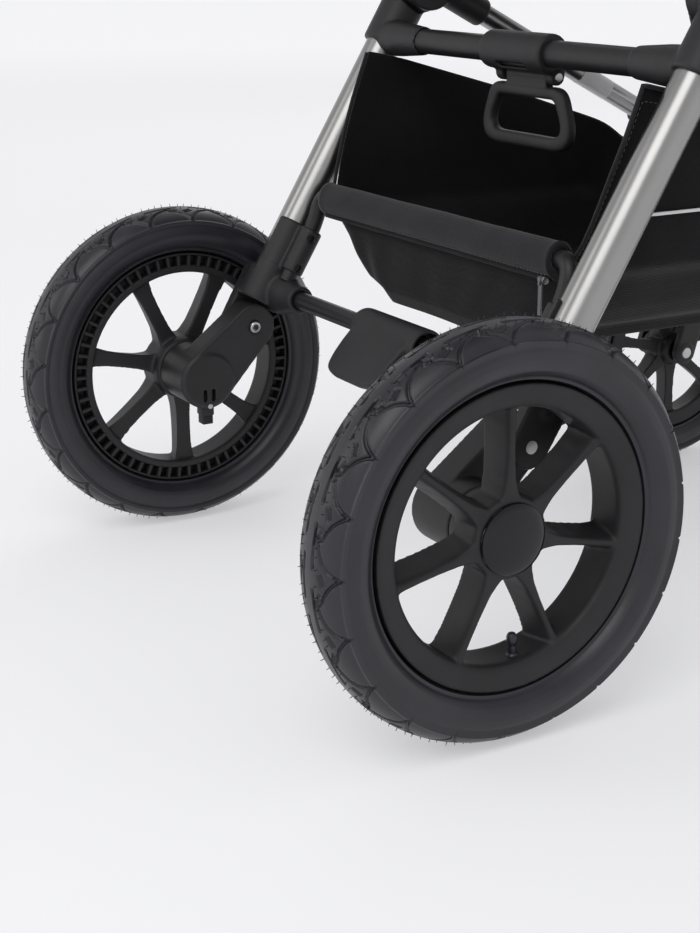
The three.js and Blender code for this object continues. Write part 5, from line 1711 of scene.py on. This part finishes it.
def add_basket():
    count, rows_up, floor_rows = 260, 46, 16
    turns = basket_turns(count)
    rows = []
    for j in range(rows_up + 1):
        level = (j / rows_up) ** 1.15
        row = []
        for cx, cy in turns:
            puff = basket_folds(cx, cy, level) - 1.4
            x, y, z = basket_point(cx, cy, level, puff)
            if z < 246 and cy > 0.9:
                y -= 2.2 * (246 - z) / 17 * abs(math.sin(3 * cx + 0.6))
            row.append(place(max(min(x, 197.2), -197.2), max(min(y, -111), -453), z))
        rows.append(row)
    floor = []
    for j in range(1, floor_rows):
        share = j / floor_rows
        row = []
        for cx, cy in turns:
            edge_x, edge_y, _ = basket_point(cx, cy, 0.0, basket_folds(cx, cy, 0.0) - 1.4)
            mid_y = -272.0
            wrinkle = 0.9 * math.sin(cx * share * 9 + 1) * math.sin(cy * share * 8)
            wrinkle *= math.sin(math.pi * share)
            z = FLOOR_MIDDLE_Z + (FLOOR_EDGE_Z - FLOOR_MIDDLE_Z) * share ** 3 + wrinkle
            row.append(place(edge_x * share, mid_y + (edge_y - mid_y) * share, z))
        floor.append(row)
    mesh = grid_mesh("basket_skin", floor + rows, close_columns=True)
    cover = bpy.data.objects.new("basket_cloth", mesh)
    bpy.context.scene.collection.objects.link(cover)
    work = bmesh.new()
    work.from_mesh(mesh)
    around = list(work.verts)[:count]
    middle = work.verts.new(place(0, -272, FLOOR_MIDDLE_Z))
    for k in range(count):
        work.faces.new((middle, around[k], around[(k + 1) % count]))
    bmesh.ops.recalc_face_normals(work, faces=work.faces)
    work.to_mesh(mesh)
    work.free()
    thick = cover.modifiers.new("cloth", "SOLIDIFY")
    thick.thickness = 0.0016
    thick.offset = -1
    mesh = baked(cover)
    bpy.data.objects.remove(cover)
    cover = finish_mesh("basket_cloth", mesh, "fabric", None, ["basket"], None)
    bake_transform(cover)
    hem = [place(*basket_point(cx, cy, 0.992, 0.4)) for cx, cy in turns if cy < 0.5 or abs(cx) > 0.955]
    first = next(i for i, (a, b) in enumerate(zip(hem, hem[1:])) if (a - b).length > 0.05)
    hem = hem[first + 1:] + hem[:first + 1]
    trims = Solids().sweep(hem, 1.7 * MM, 10)
    hem_cover = finish_mesh("basket_hem", solid_mesh("hem", trims), "sleeve_fabric", None, (), 40)
    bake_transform(hem_cover)
    seam = [place(*basket_point(cx, cy, 0.94, 0.5)) for cx, cy in turns if cy < 0.5 or abs(cx) > 0.955]
    seam = seam[first + 1:] + seam[:first + 1]
    stitches = Solids()
    stitch_row(stitches, seam, 2.8, 1.7, 0.0004)
    seam_cover = solid_mesh("hem_stitches", stitches)
    seam_cover = finish_mesh("basket_hem_stitches", seam_cover, "thread", None, (), 40)
    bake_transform(seam_cover)
    for side, sign in SIDES:
        line = [place(sign * (np.interp(343, BASKET_LEVELS, BASKET_HALVES) + 0.8), y, 343)
                for y in range(-446, -157, 8)]
        strip = Solids().sweep(line, 1.3 * MM, 12)
        piping = finish_mesh(f"basket_piping_{side}", solid_mesh("strip", strip), "piping", None, (), 40)
        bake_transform(piping)
    add_basket_sleeve()


def add_basket_sleeve():
    """Fabric rolled over the rear bar and sewn under it, with a zip slider and its pull."""
    sections, around = 121, 44
    half = 174
    rows, inner = [], []
    for i in range(sections):
        x = -half + 2 * half * i / (sections - 1)
        end = min(abs(x + half), abs(x - half))
        flare = 0.9 * math.exp(-end / 3.0)
        row, hole = [], []
        for k in range(around):
            turn = 2 * math.pi * k / around
            c, s = math.cos(turn), math.sin(turn)
            wave = 0.3 * math.sin(x / 21.0 + 2 * s) + 0.12 * math.sin(x / 7.3 + turn * 2)
            deep = 11.6 + wave + flare
            tall = 14.2 + wave * 0.5 + flare
            gather = max(0.0, -s) ** 8
            row.append(place(x, -115 + deep * c * (1 - 0.5 * gather), 311.5 + tall * s - 1.2 * gather))
            hole.append(place(x, -115 + 7.9 * c, 313 + 7.9 * s))
        rows.append(row)
        inner.append(hole)
    mesh = grid_mesh("sleeve_skin", rows + inner[::-1], close_rows=True, close_columns=True)
    outward(mesh)
    piece = finish_mesh("basket_sleeve", mesh, "sleeve_fabric", "rear_frame", (), None)
    stitches = Solids()
    for drop in (0.0, 2.6):
        line = [place(x, -107.2 - 1.0 * drop, 300.6 - drop) for x in range(-168, 169, 6)]
        stitch_row(stitches, line, 2.8, 1.6, 0.0004)
    plain("sleeve_stitches", stitches, "thread", "rear_frame")
    fold = Solids().sweep([place(x, -109.5 + 0.3 * math.sin(x / 11), 297.6) for x in range(-170, 171, 5)],
                          2.1 * MM, 14)
    plain("sleeve_seam", fold, "fabric", "rear_frame")
    slider = Solids()
    slider.rod(place(-170, -106.2, 297), place(-162, -106.2, 297), 3.2 * MM, None, 24, 0.001)
    slider.rod(place(-166, -103.6, 299), place(-166, -103.0, 293), 1.7 * MM, None, 16, 0.0006)
    slider.box(place(-168.2, -104.4, 270), place(-163.8, -103.0, 294))
    plain("sleeve_zip_pull", slider, "dark_steel", "rear_frame", (), 0.0006)
    bar = Solids()
    corners = ((191, -78, 236), (191, -108, 286), (189, -115, 313),
               (-189, -115, 313), (-191, -108, 286), (-191, -78, 236))
    path = bent_points([place(*corner) for corner in corners], 0.014, 8)
    bar.sweep(path, 7.5 * MM, 40)
    plain("basket_bar_rod", bar, "black_tube", "rear_frame", "basket_bar")
    return piece


add_camera()
add_studio()
add_wheels()
add_suspension()
add_castings()
add_leg_joints()
add_brake()
add_fold_release()
add_front()
add_handle()
add_seat_frame()
add_back_frame()
add_leg_rest()
add_bumper()
add_hood()
add_basket()
add_seat_soft()
